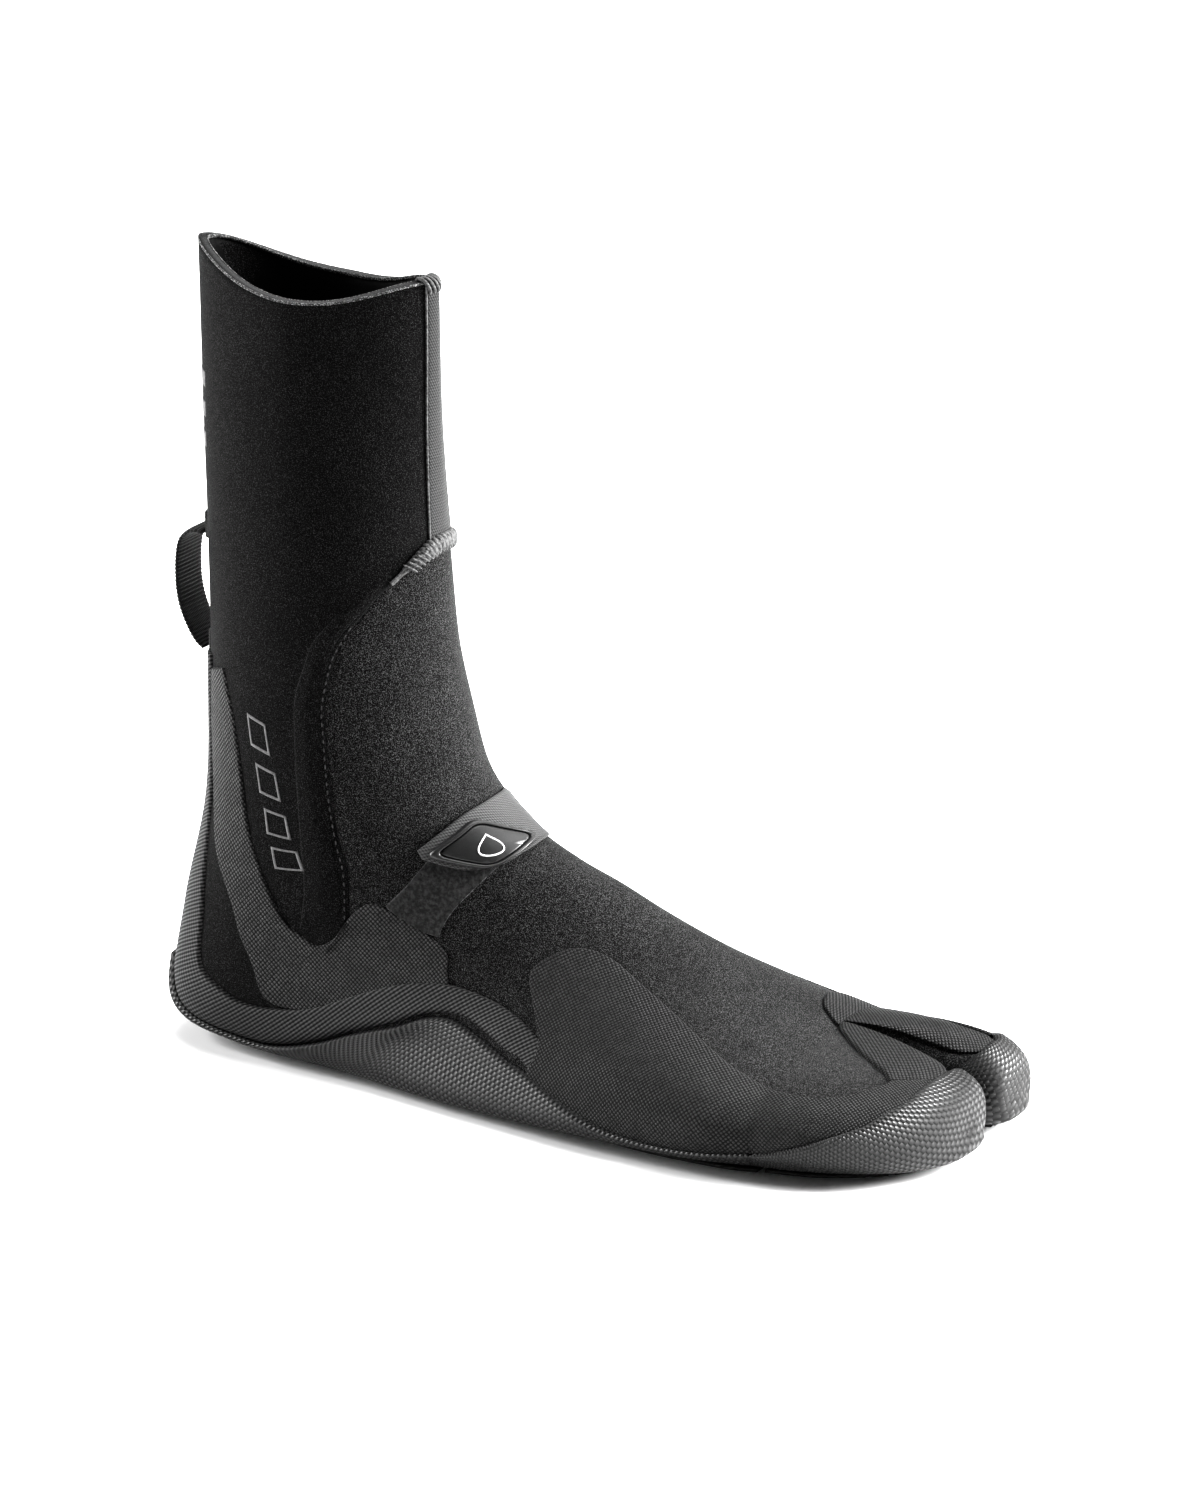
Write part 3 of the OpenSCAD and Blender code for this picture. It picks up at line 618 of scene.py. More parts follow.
def overlay(name, ground, top, pitch):
    """Satin rubberised sheet with raised dots, and a near-black border painted as the shadow along its tucked
    edge.
    """
    m, t, b = material(name, rough=.5, spec=.26)
    d = use(t, DOTS, Pitch=(pitch, pitch, 1))
    e = use(t, EDGE_SHADE)
    wear = math_node(t, "ADD", .65, math_node(t, "MULTIPLY", e["Wear"], .5))
    worn = math_node(t, "MULTIPLY", d["Dot"], wear)
    face = mix_colour(t, worn, ground, top)
    # Painted shade: the tucked border goes near black as the shadow in the gap at the sheet's edge.
    t.links.new(mix_colour(t, e["EdgeShade"], face, (.004, .004, .004)), b.inputs["Base Color"])
    t.links.new(map_range(t, d["Dot"], 0, 1, .78, .4), b.inputs["Roughness"])
    bump(t, b, d["Height"], .22)
    return m


def ribbed(name, ground, top, pitch, turn):
    m, t, b = material(name, rough=.5, spec=.26)
    r = use(t, RIBS, Pitch=pitch, Turn=math.radians(turn))
    e = use(t, EDGE_SHADE)
    face = mix_colour(t, map_range(t, r["Height"], .25, .9), ground, top)
    # Painted shade: the tucked border goes near black as the shadow in the gap at the band's edge.
    t.links.new(mix_colour(t, e["EdgeShade"], face, (.004, .004, .004)), b.inputs["Base Color"])
    t.links.new(map_range(t, r["Height"], 0, 1, .8, .5), b.inputs["Roughness"])
    bump(t, b, r["Height"], .2)
    return m


def knurled(name, ground, top, pitch, scales, depth=.45, rough=.34):
    m, t, b = material(name, rough=rough, spec=.42)
    k = use(t, KNURL, Pitch=pitch, Scales=scales)
    e = use(t, EDGE_SHADE)
    face = mix_colour(t, map_range(t, k["Height"], .1, .95), ground, top)
    # Painted shade: the tucked border goes near black as the shadow in the gap at the moulding's edge.
    t.links.new(mix_colour(t, e["EdgeShade"], face, (.005, .005, .005)), b.inputs["Base Color"])
    t.links.new(map_range(t, k["Height"], 0, 1, .7, rough), b.inputs["Roughness"])
    bump(t, b, k["Height"], depth)
    return m


def woven(name, ground, top, pitch, depth=.25, rough=.7):
    m, t, b = material(name, rough=rough, sheen=.04, spec=.2)
    w = use(t, TWILL, Pitch=pitch)
    face = mix_colour(t, w["Height"], ground, top)
    t.links.new(face, b.inputs["Base Color"])
    t.links.new(map_range(t, w["Yarn"], 0, 1, .85, rough - .15), b.inputs["Roughness"])
    bump(t, b, w["Height"], depth)
    return m


def grained(name, ground, top, grain, depth=.05, rough=.5, sheen=0.0):
    """Moulded or printed finish with a fine grain."""
    m, t, b = material(name, rough=rough, sheen=sheen)
    p = node(t, "ShaderNodeTexCoord").outputs["Object"]
    n = noise(t, p, grain, 3, .6)
    t.links.new(mix_colour(t, map_range(t, n, .3, .7), ground, top), b.inputs["Base Color"])
    t.links.new(map_range(t, n, .3, .7, rough + .08, rough - .06), b.inputs["Roughness"])
    bump(t, b, n, depth)
    return m


def grey(value):
    return (value, value, value)


JERSEY_REAR = jersey("jersey_rear", grey(.001), grey(.040), .70, grain=3400)
JERSEY_FRONT = jersey("jersey_front", grey(.001), grey(.095), .80, grain=3400)
LINING = jersey("lining_jersey", grey(.004), grey(.010), .2, depth=.05)
RIM_THREAD = jersey("rim_edge", grey(.03), grey(.28), .9, grain=2200)
FOAM = grained("foam_edge", grey(.003), grey(.012), 2500, depth=.1, rough=.9)
OVERLAY = overlay("dot_overlay", grey(.0015), grey(.045), 1.08)
GUARD = overlay("guard_overlay", grey(.001), grey(.024), 1.0)
SPINE = ribbed("spine_ribs", grey(.0015), grey(.045), (1.15, 1.5, 1), 62)
WALL = knurled("sole_ribs", grey(.001), grey(.022), (1.75, 1.6, 1), 1.0, rough=.30)
CAP = knurled("toe_scales", grey(.001), grey(.018), (1.9, 1.7, 1), 1.0, depth=.5, rough=.26)
TREAD = grained("sole_tread", grey(.008), grey(.02), 900, depth=.08, rough=.62)
TAPE = woven("front_tape", grey(.005), grey(.034), (.9, .8, 1), depth=.2)
THREAD = grained("seam_thread", grey(.010), grey(.085), 1200, depth=.05, rough=.75, sheen=.05)
DARK_THREAD = grained("dark_thread", grey(.008), grey(.035), 1200, depth=.05, rough=.8)
PRINT = grained("print_ink", grey(.06), grey(.10), 1500, depth=.03, rough=.6)
PRINT_LIGHT = grained("light_ink", grey(.42), grey(.6), 1500, depth=.02, rough=.5)
WEBBING = woven("loop_webbing", grey(.002), grey(.03), (1.25, .8, 1), depth=.3)
STRAP = woven("strap_webbing", grey(.006), grey(.07), (.9, .9, 1), depth=.22)
PILE = grained("landing_pile", grey(.0015), grey(.02), 900, depth=.55, rough=.95, sheen=.12)
HOOKS = grained("hook_face", grey(.003), grey(.06), 1400, depth=.5, rough=.8)
FRAME_RUBBER = grained("badge_frame", grey(.010), grey(.016), 1800, depth=.015, rough=.36)
INSERT_RUBBER = grained("badge_insert", grey(.005), grey(.009), 2400, depth=.02, rough=.42)
FOOTBED = jersey("footbed_cloth", grey(.008), grey(.02), .3)


# ---- Skins ----
# Side seam between the front panel and the wrapped rear panel, half angle by station
SEAM_U = np.array([1.88, 1.95, 2.05, 2.27, 2.62, 3.12, 3.95, 4.85, 5.75, 6.5, 7.0, 7.6, 12])
SEAM_V = np.array([0, 18, 33, 47, 63, 71, 72, 71, 74, 80, 92, 112, 118])
FULL = 180.0


def seam_v(u):
    return np.interp(u, SEAM_U, SEAM_V)


def rear_off(u, v):
    """Low ridge of the glued seam just behind the seam line, and soft give lines."""
    u, v = np.broadcast_arrays(u, v)
    from_seam = np.minimum(v, 360 - v) - seam_v(u)
    ridge = .75 * np.exp(-((from_seam - 7.5) / 4.2) ** 2)
    ridge *= np.clip((u - 1.95) / .3, 0, 1) * np.clip((5.6 - u) / .5, 0, 1)
    give = .22 * np.sin(u * 5.1 + np.radians(v) * 2) * np.exp(-((u - 4.3) / 1.1) ** 2)
    return ridge + give


def rear_panel():
    us = np.concatenate([np.arange(0, 1.8, .06), np.arange(1.8, 2.7, .025), np.arange(2.7, 12.01, .06)])
    share = np.linspace(0, 1, 121)
    low = seam_v(us)
    V = low[:, None] + (2 * (FULL - low))[:, None] * share
    U = np.repeat(us[:, None], len(share), 1)
    obj = grid_object("rear_panel", *lifted(np.stack([U, V], -1), rear_off(U, V)))
    welded(obj)
    backed(obj, REAR_BACK)
    return finish(obj, JERSEY_REAR, bend=True,
                  replaces=("cuff_panel", "heel_panel", "footbed_panel"))


FRONT_SHARE = np.linspace(0, 1, 101)


def front_sheet():
    us = np.concatenate([np.arange(1.9, 2.7, .025), np.arange(2.7, 12.01, .06)])
    us[-1] = LAST_U
    low = seam_v(us) + .35
    V = -low[:, None] + (2 * low)[:, None] * FRONT_SHARE
    U = np.repeat(us[:, None], len(FRONT_SHARE), 1)
    give = (.25 * np.sin(U * 6.0) * np.exp(-((U - 3.9) / .9) ** 2)
            - .3 * np.exp(-((np.abs(V) - low[:, None]) / 1.2) ** 2))
    give[-8:] *= np.linspace(1, 0, 8)[:, None]
    P, Q = last(U, V, give), last(U, V, give + 1)
    return grid_object("front_sheet", P, Q)


def toe_sheet(name, T):
    """One toe pocket, whose top edge continues the front sheet's own points."""
    phi = np.concatenate([[0, 1.2], np.linspace(3.5, 60, 24), np.linspace(62.5, 88, 12)])
    low = seam_v(LAST_U) + .35
    shared = -low + 2 * low * FRONT_SHARE
    shared = shared[shared * -T["side"] >= -1e-6] % 360
    rest = np.arange(0, 360, 4.0)
    gap = np.abs((rest[:, None] - shared[None] + 180) % 360 - 180).min(1)
    v = np.sort(np.concatenate([shared, rest[gap > 1.5]]))
    PH, V = np.meshgrid(phi, v, indexing="ij")
    P, Q = toe(T, PH, V), toe(T, PH, V, 1)
    kept = np.isin(v, shared)
    P[0, kept] = last(LAST_U, v[kept])
    tip = np.array([T["tip"][0] - HEEL_TO_AXIS, T["tip"][1], T["tip"][2]])
    P = np.concatenate([P, np.broadcast_to(tip, P[:1].shape)])
    Q = np.concatenate([Q, np.broadcast_to(tip + [1, 0, 0], P[:1].shape)])
    return grid_object(name, P, Q, ring=True)


def front_panel():
    """The front sheet runs on without a seam into the two toe pockets."""
    obj = joined("front_panel", [front_sheet(), toe_sheet("outer_toes", OUTER_TOES),
                                 toe_sheet("big_toe", BIG_TOE)])
    welded(obj, .01)
    backed(obj, FRONT_BACK)
    return finish(obj, JERSEY_FRONT, bend=True,
                  replaces=("vamp_panel", "shaft_front_panel", "outer_toe_sleeve", "big_toe_sleeve"))


def lining():
    """Inner face of the boot, from the rim down into the toes."""
    U, V = np.meshgrid(np.arange(0, 12.01, .1), np.arange(0, 360, 4.0), indexing="ij")
    P, Q = last(U, V, -LINING_DEPTH), last(U, V, -LINING_DEPTH - 1)
    obj = grid_object("lining", P, Q, ring=True)
    backed(obj, LINING_BACK)
    return finish(obj, LINING, bend=True,
                  replaces=("foot_lining", "shaft_lining"))


def rim_strip(name, section, mat):
    """Closed strip round the rim; section is a list of (offset, height) in millimetres."""
    v = np.arange(0, 360, 2.0)
    rows = []
    for off, up in section:
        p = last(0, v, off)
        p[:, 2] += up
        rows.append(p)
    verts = np.array(rows).reshape(-1, 3) * MM
    n, R = len(v), len(rows)
    faces = []
    for i in range(R):
        k = (i + 1) % R
        for j in range(n):
            m = (j + 1) % n
            faces.append((i * n + j, i * n + m, k * n + m, k * n + j))
    obj = new_object(name, verts, faces)
    in_edit_mode(obj, bpy.ops.mesh.normals_make_consistent, inside=False)
    bpy.ops.object.shade_smooth()
    return finish(obj, mat, "shaft")


def rim():
    rim_strip("rim_outer_edge", [(.05, -.5), (.09, .05), (-.02, .25), (-.24, .25), (-.34, -.1), (-.2, -.6)],
              RIM_THREAD)
    rim_strip("rim_foam", [(-.2, .12), (-1.6, .0), (-3.1, .12), (-3.1, -1.2), (-.2, -1.2)], FOAM)
    rim_strip("rim_inner_edge", [(-3.05, .2), (-3.25, .25), (-3.45, .1), (-3.5, -.8), (-3.1, -.8)],
              RIM_THREAD)


def insole():
    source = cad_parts["insole"]
    obj = bpy.data.objects.new("insole_sheet", source.data.copy())
    bpy.context.scene.collection.objects.link(obj)
    obj.data.transform(source.matrix_world)
    welded(obj, .005)
    m = obj.modifiers.new("edge", "BEVEL")
    m.width = .5 * MM
    m.segments = 2
    m.limit_method = "ANGLE"
    m.angle_limit = math.radians(50)
    apply_modifiers(obj)
    return finish(obj, FOOTBED, "foot", replaces=("insole",))


# ---- Textured overlays ----
RAND_INNER = [[2.83, 146], [3.43, 145], [4.03, 141], [4.53, 135], [5.10, 129], [5.62, 125],
              [5.98, 118], [6.40, 114], [6.68, 109], [6.88, 101], [6.93, 87], [7.02, 77.2],
              [7.29, 70.6], [7.71, 68.9], [8.23, 69.9], [8.75, 74.5], [9.25, 84]]
SOLE_LINE = [[5.50, 155], [6.02, 143], [6.46, 137], [6.88, 135], [7.22, 132], [7.44, 121],
             [7.53, 108], [7.67, 94.4], [7.74, 84.6], [7.94, 81.7], [8.38, 84.6], [9.03, 92.5],
             [9.60, 105], [10.2, 118], [10.75, 122], [11.4, 117], [12, 110]]
TOE_SOLE_LINE = {"outer": [[0, 110], [4, 108], [22, 86], [39, 68], [52, 42], [56, 2], [56, -30],
                           [50, -60], [36, -84], [20, -100], [6, -112], [0, -116]],
                 "big": [[0, -110], [4, -108], [20, -86], [36, -64], [48, -40], [55, -12], [55, 26],
                         [51, 46], [44, 70], [30, 88], [14, 104], [0, 116]]}


def rand_half(side):
    """Band from the heel's back line forward along the sole, on one side."""
    outer = [[2.83, 180], [3.6, 180], [4.4, 180], [5.1, 180], [5.5, 178], [5.60, 168], [5.64, 156],
             [6.10, 146], [6.50, 140], [6.90, 138], [7.22, 135], [7.42, 123], [7.50, 109], [7.63, 94.4],
             [7.7, 83.6], [7.95, 79.7], [8.38, 82.6], [8.95, 90], [9.4, 100]]
    inner = RAND_INNER
    if side < 0:
        outer, inner = ([[w, 360 - v] for w, v in c] for c in (outer, inner))
    WV, H = coons(inner, outer, rows=150, cols=12, lip=.9, soft="tse")
    at_back = np.abs(WV[:, -1, 1] - 180) > 3
    fade = np.clip((np.arange(WV.shape[1]) - WV.shape[1] + 4) / 3, 0, 1)
    H = np.where(at_back[:, None], H * (1 - .9 * fade[None] ** 2), H)
    under_guard = np.clip((WV[..., 0] - 8.45) / .35, 0, 1)
    return pressed("rand_half", WV, H * (1 - .72 * under_guard), BAND_HIGH)


def heel_band():
    parts = [rand_half(1), rand_half(-1)]
    for p in parts:
        unwrap(p)
    obj = joined("heel_band", parts)
    welded(obj)
    backed(obj, .45)
    return finish(obj, SPINE, bend=True,
                  replaces=("heel_spine", "achilles_strip", "rand_lateral", "rand_medial"))


def side_of(points, side):
    return points if side > 0 else [[w, 360 - v] for w, v in points]


def ankle_strut(side, name, nodes):
    """U-shaped strut from behind the ankle down to the arch flap."""
    upper = [[2.88, 128], [3.35, 118], [4.05, 111], [4.67, 101], [5.18, 94], [5.6, 86], [5.81, 82],
             [5.71, 76], [5.51, 73], [5.39, 68], [5.46, 64.6], [5.64, 62.1], [5.83, 60.2], [6.15, 58.6],
             [6.48, 59], [6.8, 60.8], [7, 63.4]]
    lower = [[2.95, 150], [3.5, 146], [4.25, 133], [4.85, 117], [5.38, 109], [5.88, 104], [6.6, 108],
             [7.06, 99.4], [7.13, 89.1], [7.16, 83.2], [7.19, 80.3], [7.22, 78.4], [7.26, 76.5], [7.3, 74.5],
             [7.34, 73.1], [7.4, 72.2], [7.5, 71.8]]
    WV, H = coons(side_of(upper, side), side_of(lower, side), rows=150, cols=26, lip=.9, soft="tbse")
    obj = pressed(name, WV, H, STRUT_HIGH)
    unwrap(obj)
    backed(obj, OVERLAY_BACK)
    return finish(obj, OVERLAY, bend=True, replaces=nodes)


GUARD_REAR = [[7.66, 42.5], [7.68, 49.3], [7.83, 55.2], [8.19, 62.1], [8.57, 69.9], [8.9, 79.6], [9.13, 96.3]]


def guard_outer():
    """Guard over the outer side of the forefoot and round the outer toes."""
    top = [[7.66, 42.5], [7.72, 38.2], [7.92, 34.9], [8.28, 33.9], [8.81, 35.6], [9.55, 38], [10.24, 41],
           [11.13, 44.9], [11.71, 47.8], [12.06, 50], [12.2, 50], [12.31, 45], [12.385, 38],
           [12.42, 32], [12.43, 28.5]]
    bottom = [[9.13, 96.3], [9.6, 107], [10.2, 120], [10.75, 124], [11.4, 119], [12, 112], [12.05, 110],
              [12.14, 98], [12.24, 88], [12.33, 79], [12.43, 71], [12.52, 60], [12.59, 46],
              [12.63, 30], [12.64, 12]]
    WV, H = coons(top, bottom, start=GUARD_REAR, rows=170, cols=34, lip=.9, soft="ts", T=OUTER_TOES)
    return pressed("guard_outer_side", WV, H, GUARD_HIGH, OUTER_TOES)


def guard_web():
    """The guard's strip back along the gap, on the outer toes' side of it."""
    edge = [[12.43, 28.5], [12.40, 25.5], [12.36, 23], [12.28, 19.5], [12.20, 16], [12.1, 10.5],
            [12.03, 6], [12.0, 3]]
    inner = [[12.64, 12], [12.62, -8], [12.56, -24], [12.45, -34], [12.3, -39], [12.15, -42],
             [12.06, -44], [12.0, -46]]
    WV, H = coons(edge, inner, rows=60, cols=26, lip=.9, soft="tb", T=OUTER_TOES)
    return pressed("guard_web", WV, H, GUARD_HIGH, OUTER_TOES)


def guard_crotch():
    """Part of the guard behind the crotch, on top of the foot."""
    edge = [[12.0, 3], [11.7, 1.5], [11.35, -2], [11.15, -6.5], [11.03, -12], [10.95, -20], [10.97, -30],
            [11.1, -37], [11.3, -42], [11.6, -45], [12.0, -48]]
    inner = [[12.0, 3], [12.0, 2], [12.0, 0], [12.0, -3], [12.0, -8], [12.0, -14], [12.0, -22],
             [12.0, -30], [12.0, -37], [12.0, -43], [12.0, -48]]
    WV, H = coons(edge, inner, rows=50, cols=14, lip=.9, soft="t")
    return pressed("guard_crotch", WV, H, GUARD_HIGH)


def guard_big():
    """The guard over the big toe, from the gap across its top."""
    edge = [[12.0, -48], [12.1, -42], [12.2, -36], [12.32, -29], [12.42, -22], [12.52, -16], [12.62, -12]]
    inner = [[12.0, 0], [12.12, 14], [12.26, 29], [12.38, 37], [12.48, 40], [12.56, 36], [12.62, 26]]
    WV, H = coons(edge, inner, rows=50, cols=40, lip=.9, soft="tb", T=BIG_TOE)
    return pressed("guard_big", WV, H, GUARD_HIGH, BIG_TOE)


def toe_guard():
    parts = [guard_outer(), guard_web(), guard_crotch(), guard_big()]
    for p in parts:
        unwrap(p)
    obj = joined("toe_guard_outer", parts)
    backed(obj, OVERLAY_BACK)
    return finish(obj, GUARD, "foot", replaces=("toe_guard_lateral",))


def toe_guard_inner():
    """Guard on the inner side of the forefoot, up to the big toe's cap."""
    top = [[7.53, -40], [7.6, -36], [8.10, -34], [8.70, -36], [9.47, -39], [10.18, -42], [11.10, -46],
           [11.7, -48], [12.0, -48], [12.2, -42], [12.42, -30], [12.56, -20]]
    bottom = [[9.1, -94], [9.6, -107], [10.2, -118], [10.75, -122], [11.4, -118], [12, -112],
              [12.04, -109], [12.14, -95], [12.28, -78], [12.40, -62], [12.52, -44], [12.60, -24]]
    WV, H = coons(top, bottom, start=mirrored_v(GUARD_REAR), rows=120, cols=26, lip=.9, soft="ts",
                  T=BIG_TOE)
    obj = pressed("toe_guard_inner", WV, H, GUARD_HIGH, BIG_TOE)
    unwrap(obj)
    backed(obj, OVERLAY_BACK)
    return finish(obj, GUARD, "foot", replaces=("toe_guard_medial",))


# ---- Sole ----
def sole_off(v, H, high, w=12.0):
    """The moulded wall grows from its top line to full thickness and flattens underfoot."""
    half = np.abs(((v + 180) % 360) - 180)
    under = np.clip((half - 118) / 34, 0, 1)
    flare = 2.6 * np.exp(-((w - 8.8) / 1.15) ** 2)
    low = np.clip((half - 92) / 34, 0, 1)
    return (H * (high + .3) - .3 + .95 * under * under * (3 - 2 * under)
            + flare * low * low * (3 - 2 * low))


def sole_side(side):
    top = side_of(SOLE_LINE, side)
    bottom = side_of([[5.50, 180], [6.1, 180], [6.8, 180], [7.4, 180], [8.2, 180], [9, 180],
                      [9.8, 180], [10.6, 180], [11.3, 180], [12, 180]], side)
    WV, H = coons(top, bottom, rows=150, cols=34, lip=.8, soft="ts")
    fold = (.9 * np.exp(-((WV[..., 0] - 7.72) / .16) ** 2)
            * np.exp(-((np.abs(WV[..., 1] - 180) - 88) / 12) ** 2))
    off = sole_off(WV[..., 1], H, MOULD_HIGH, WV[..., 0]) + fold
    P, Q = lifted(WV, off)
    P[..., 2] = np.maximum(P[..., 2], FLOOR_CLEAR)
    run = lengths(P[:, :14].mean(1))
    rise = np.cumsum(np.linalg.norm(np.diff(P, axis=1), axis=2), 1)
    rise = np.concatenate([np.zeros((len(P), 1)), rise], 1)
    uv = np.stack([P[..., 0] * .35 + run[:, None] * .65, -rise], -1)
    # The lip mark also drives the painted shadow along the wall's top border in its material.
    return grid_object("sole_side", P, Q, uv=uv, marks={"lip": 1 - H})


def sole_wall():
    obj = joined("sole_wall_moulding", [sole_side(1), sole_side(-1)])
    welded(obj)
    backed(obj, MOULD_BACK)
    return finish(obj, WALL, "foot", replaces=("sole_wall",))


def toe_cap_piece(name, T, line, node_name):
    """Moulded cap: everything on the toe below its trim line, closed over the tip."""
    pts = np.array(line, float)
    v_line, phi_line = pts[:, 1], pts[:, 0]
    v = np.arange(0, 360, 3.0)
    signed = np.where(v > 180, v - 360, v)
    order = np.argsort(v_line)
    phi0 = np.interp(signed, v_line[order], phi_line[order], left=0, right=0)
    rows = []
    heights = []
    share = np.concatenate([[0, .012, .035, .07], np.linspace(.1, 1, 30)])
    rise = np.concatenate([[0, .42, .80, .95], np.ones(30)])
    for q, h in zip(share, rise):
        rows.append(phi0 + (88.5 - phi0) * q)
        heights.append(np.where(phi0 > .5, h, 1.0))
    PH, H = np.array(rows), np.array(heights)
    V = np.broadcast_to(v, PH.shape)
    off = sole_off(V, H, MOULD_HIGH)
    P, Q = toe(T, PH, V, off), toe(T, PH, V, off + 1)
    P[..., 2] = np.maximum(P[..., 2], FLOOR_CLEAR)
    tip = P[-1].mean(0) + [.35, 0, 0]
    P = np.concatenate([P, np.broadcast_to(tip, P[:1].shape)])
    Q = np.concatenate([Q, np.broadcast_to(tip + [1, 0, 0], P[:1].shape)])
    H = np.concatenate([H, H[-1:]])
    # The lip mark also drives the painted shadow along the cap's trim border in its material.
    obj = grid_object(name, P, Q, ring=True, marks={"lip": 1 - H})
    welded(obj)
    unwrap(obj)
    backed(obj, MOULD_BACK)
    return finish(obj, CAP, "foot", replaces=(node_name,))


TREAD_PLAN = {
    "heel_to_ball": [([-38, -14], [-38, 14]), ([-28, -23], [-28, 23]), ([0, -28], [0, 26]),
                     ([40, -30], [40, 27]), ([70, -35], [70, 29]), ([100, -44], [100, 33]),
                     ([130, -50], [130, 38]), ([156, -51], [156, 40]), ([168, -49], [168, 40])],
    "outer_toes": [([170, -48], [170, 4.5]), ([184, -45], [184, 1.5]), ([197, -38], [197, -.5]),
                   ([207, -28], [207, -3]), ([212, -17], [212, -8])],
    "big_toe": [([170, 10.5], [170, 40]), ([184, 13], [184, 40]), ([197, 15.5], [197, 38]),
                ([207, 18], [207, 35]), ([213, 22], [213, 30])]}


def tread_plate(name, edges, inset=4.5, n=150):
    """Flat plate between its outer and inner edge points, with fine wavy grooves underneath."""
    ends = np.array(edges, float)
    inward = np.minimum(inset, (ends[:, 1, 1] - ends[:, 0, 1]) * .25)
    ends[:, 0, 1] += inward
    ends[:, 1, 1] -= inward
    share = np.linspace(0, len(edges) - 1, n)
    a, b = catmull(ends[:, 0], share), catmull(ends[:, 1], share)
    s = np.concatenate([[0, .02], np.linspace(.05, .95, 40), [.98, 1]])
    XY = a[:, None] + (b - a)[:, None] * s[None, :, None]
    from_end = np.minimum(np.arange(n), np.arange(n)[::-1]) / 3.0
    edge = np.minimum(from_end[:, None], np.minimum(s, 1 - s)[None] / .05)
    groove = np.clip(np.sin(XY[..., 0] * .9 + 1.6 * np.sin(XY[..., 1] * .22)) * 3 - 1.9, 0, 1)
    Z = .55 * (1 - np.clip(edge, 0, 1)) + .5 * groove * np.clip(edge, 0, 1)
    P = np.concatenate([XY, Z[..., None]], -1)
    return grid_object(name, P, P - [0, 0, 1])


def outsole():
    obj = joined("outsole_tread", [tread_plate(k, e) for k, e in TREAD_PLAN.items()])
    backed(obj, 1.0)
    return finish(obj, TREAD, "foot", replaces=("outsole",))


# ---- Seams, tape and prints ----
def tube(name, path, normals, radius, ridges=0.0, pitch=1.1, sides=12, closed=False, flat=1.0):
    """Tube along a path in millimetres; radius may change along it, with slanted thread ridges."""
    n = len(path)
    radius = np.broadcast_to(np.asarray(radius, float), n)
    if closed:
        tangent = np.roll(path, -1, 0) - np.roll(path, 1, 0)
    else:
        tangent = np.gradient(path, axis=0)
    tangent /= np.linalg.norm(tangent, axis=1)[:, None]
    normals = normals - (normals * tangent).sum(1)[:, None] * tangent
    normals /= np.linalg.norm(normals, axis=1)[:, None]
    side = np.cross(tangent, normals)
    s = lengths(path)
    a = np.linspace(0, 2 * math.pi, sides, endpoint=False)
    wave = 1 + ridges * np.abs(np.sin(math.pi * s[:, None] / pitch + a[None] * .5))
    r = radius[:, None] * wave
    P = (path[:, None] + side[:, None] * (np.cos(a)[None] * r)[..., None]
         + normals[:, None] * (np.sin(a)[None] * r * flat)[..., None])
    if not closed:
        P = np.concatenate([P[:1].mean(1, keepdims=True).repeat(sides, 1), P,
                            P[-1:].mean(1, keepdims=True).repeat(sides, 1)])
        centre = np.concatenate([path[:1] - tangent[:1] * .01, path, path[-1:] + tangent[-1:] * .01])
    else:
        P = np.concatenate([P, P[:1]])
        centre = np.concatenate([path, path[:1]])
    Q = P + (P - centre[:, None]) * .5
    obj = grid_object(name, P, Q, ring=True)
    return welded(obj, .001)


def on_last(points, n, off):
    """n even points on the last with their outward normals."""
    f, _ = dense(points)
    wv = f(np.linspace(0, 1, n))
    P = last(wv[:, 0], wv[:, 1], off)
    N = last(wv[:, 0], wv[:, 1], off + 1) - P
    return P, N / np.linalg.norm(N, axis=1)[:, None]


def stitch_row(name, points, off, pitch, length, radius, slant=0.0):
    """A row of short raised stitches along a line on the last."""
    total = dense(points)[1]
    count = max(int(total / pitch), 2)
    P, N = on_last(points, count, off)
    T = np.gradient(P, axis=0)
    T /= np.linalg.norm(T, axis=1)[:, None]
    B = np.cross(T, N)
    T = T * math.cos(slant) + B * math.sin(slant)
    B = np.cross(T, N)
    a = np.linspace(0, 2 * math.pi, 6, endpoint=False)
    verts, faces = [], []
    for p, nrm, t, b in zip(P, N, T, B):
        base = len(verts)
        for share, r in ((-.5, .25), (-.36, .8), (0, 1), (.36, .8), (.5, .25)):
            c = p + t * share * length - nrm * (abs(share) ** 2) * radius * 2
            verts += [(c + (b * math.cos(x) + nrm * math.sin(x)) * radius * r) * MM for x in a]
        faces += grid_faces(5, 6, ring=True, start=base, flip=False)
        faces += [tuple(base + k for k in range(5, -1, -1)), tuple(base + 24 + k for k in range(6))]
    obj = new_object(name, verts, faces)
    in_edit_mode(obj, bpy.ops.mesh.normals_make_consistent, inside=False)
    bpy.ops.object.shade_smooth()
    return obj


def front_tape():
    edge = [[.0, 10], [.5, 10], [1, 11], [1.4, 12], [1.84, 13]]
    WV, H = coons(edge, mirrored_v(edge), rows=60, cols=14, lip=.7, soft="tb")
    obj = pressed("front_seam_tape_strip", WV, H, .65)
    unwrap(obj, 90)
    backed(obj, OVERLAY_BACK)
    finish(obj, TAPE, "shaft", replaces=("front_seam_tape",))
    for side in (1, -1):
        P, N = on_last([[w, v * side] for w, v in edge], 90, .45)
        cord = tube(f"tape_edge_{'outer' if side > 0 else 'inner'}", P, N, .34, .12, .9, 8)
        finish(cord, THREAD, "shaft")


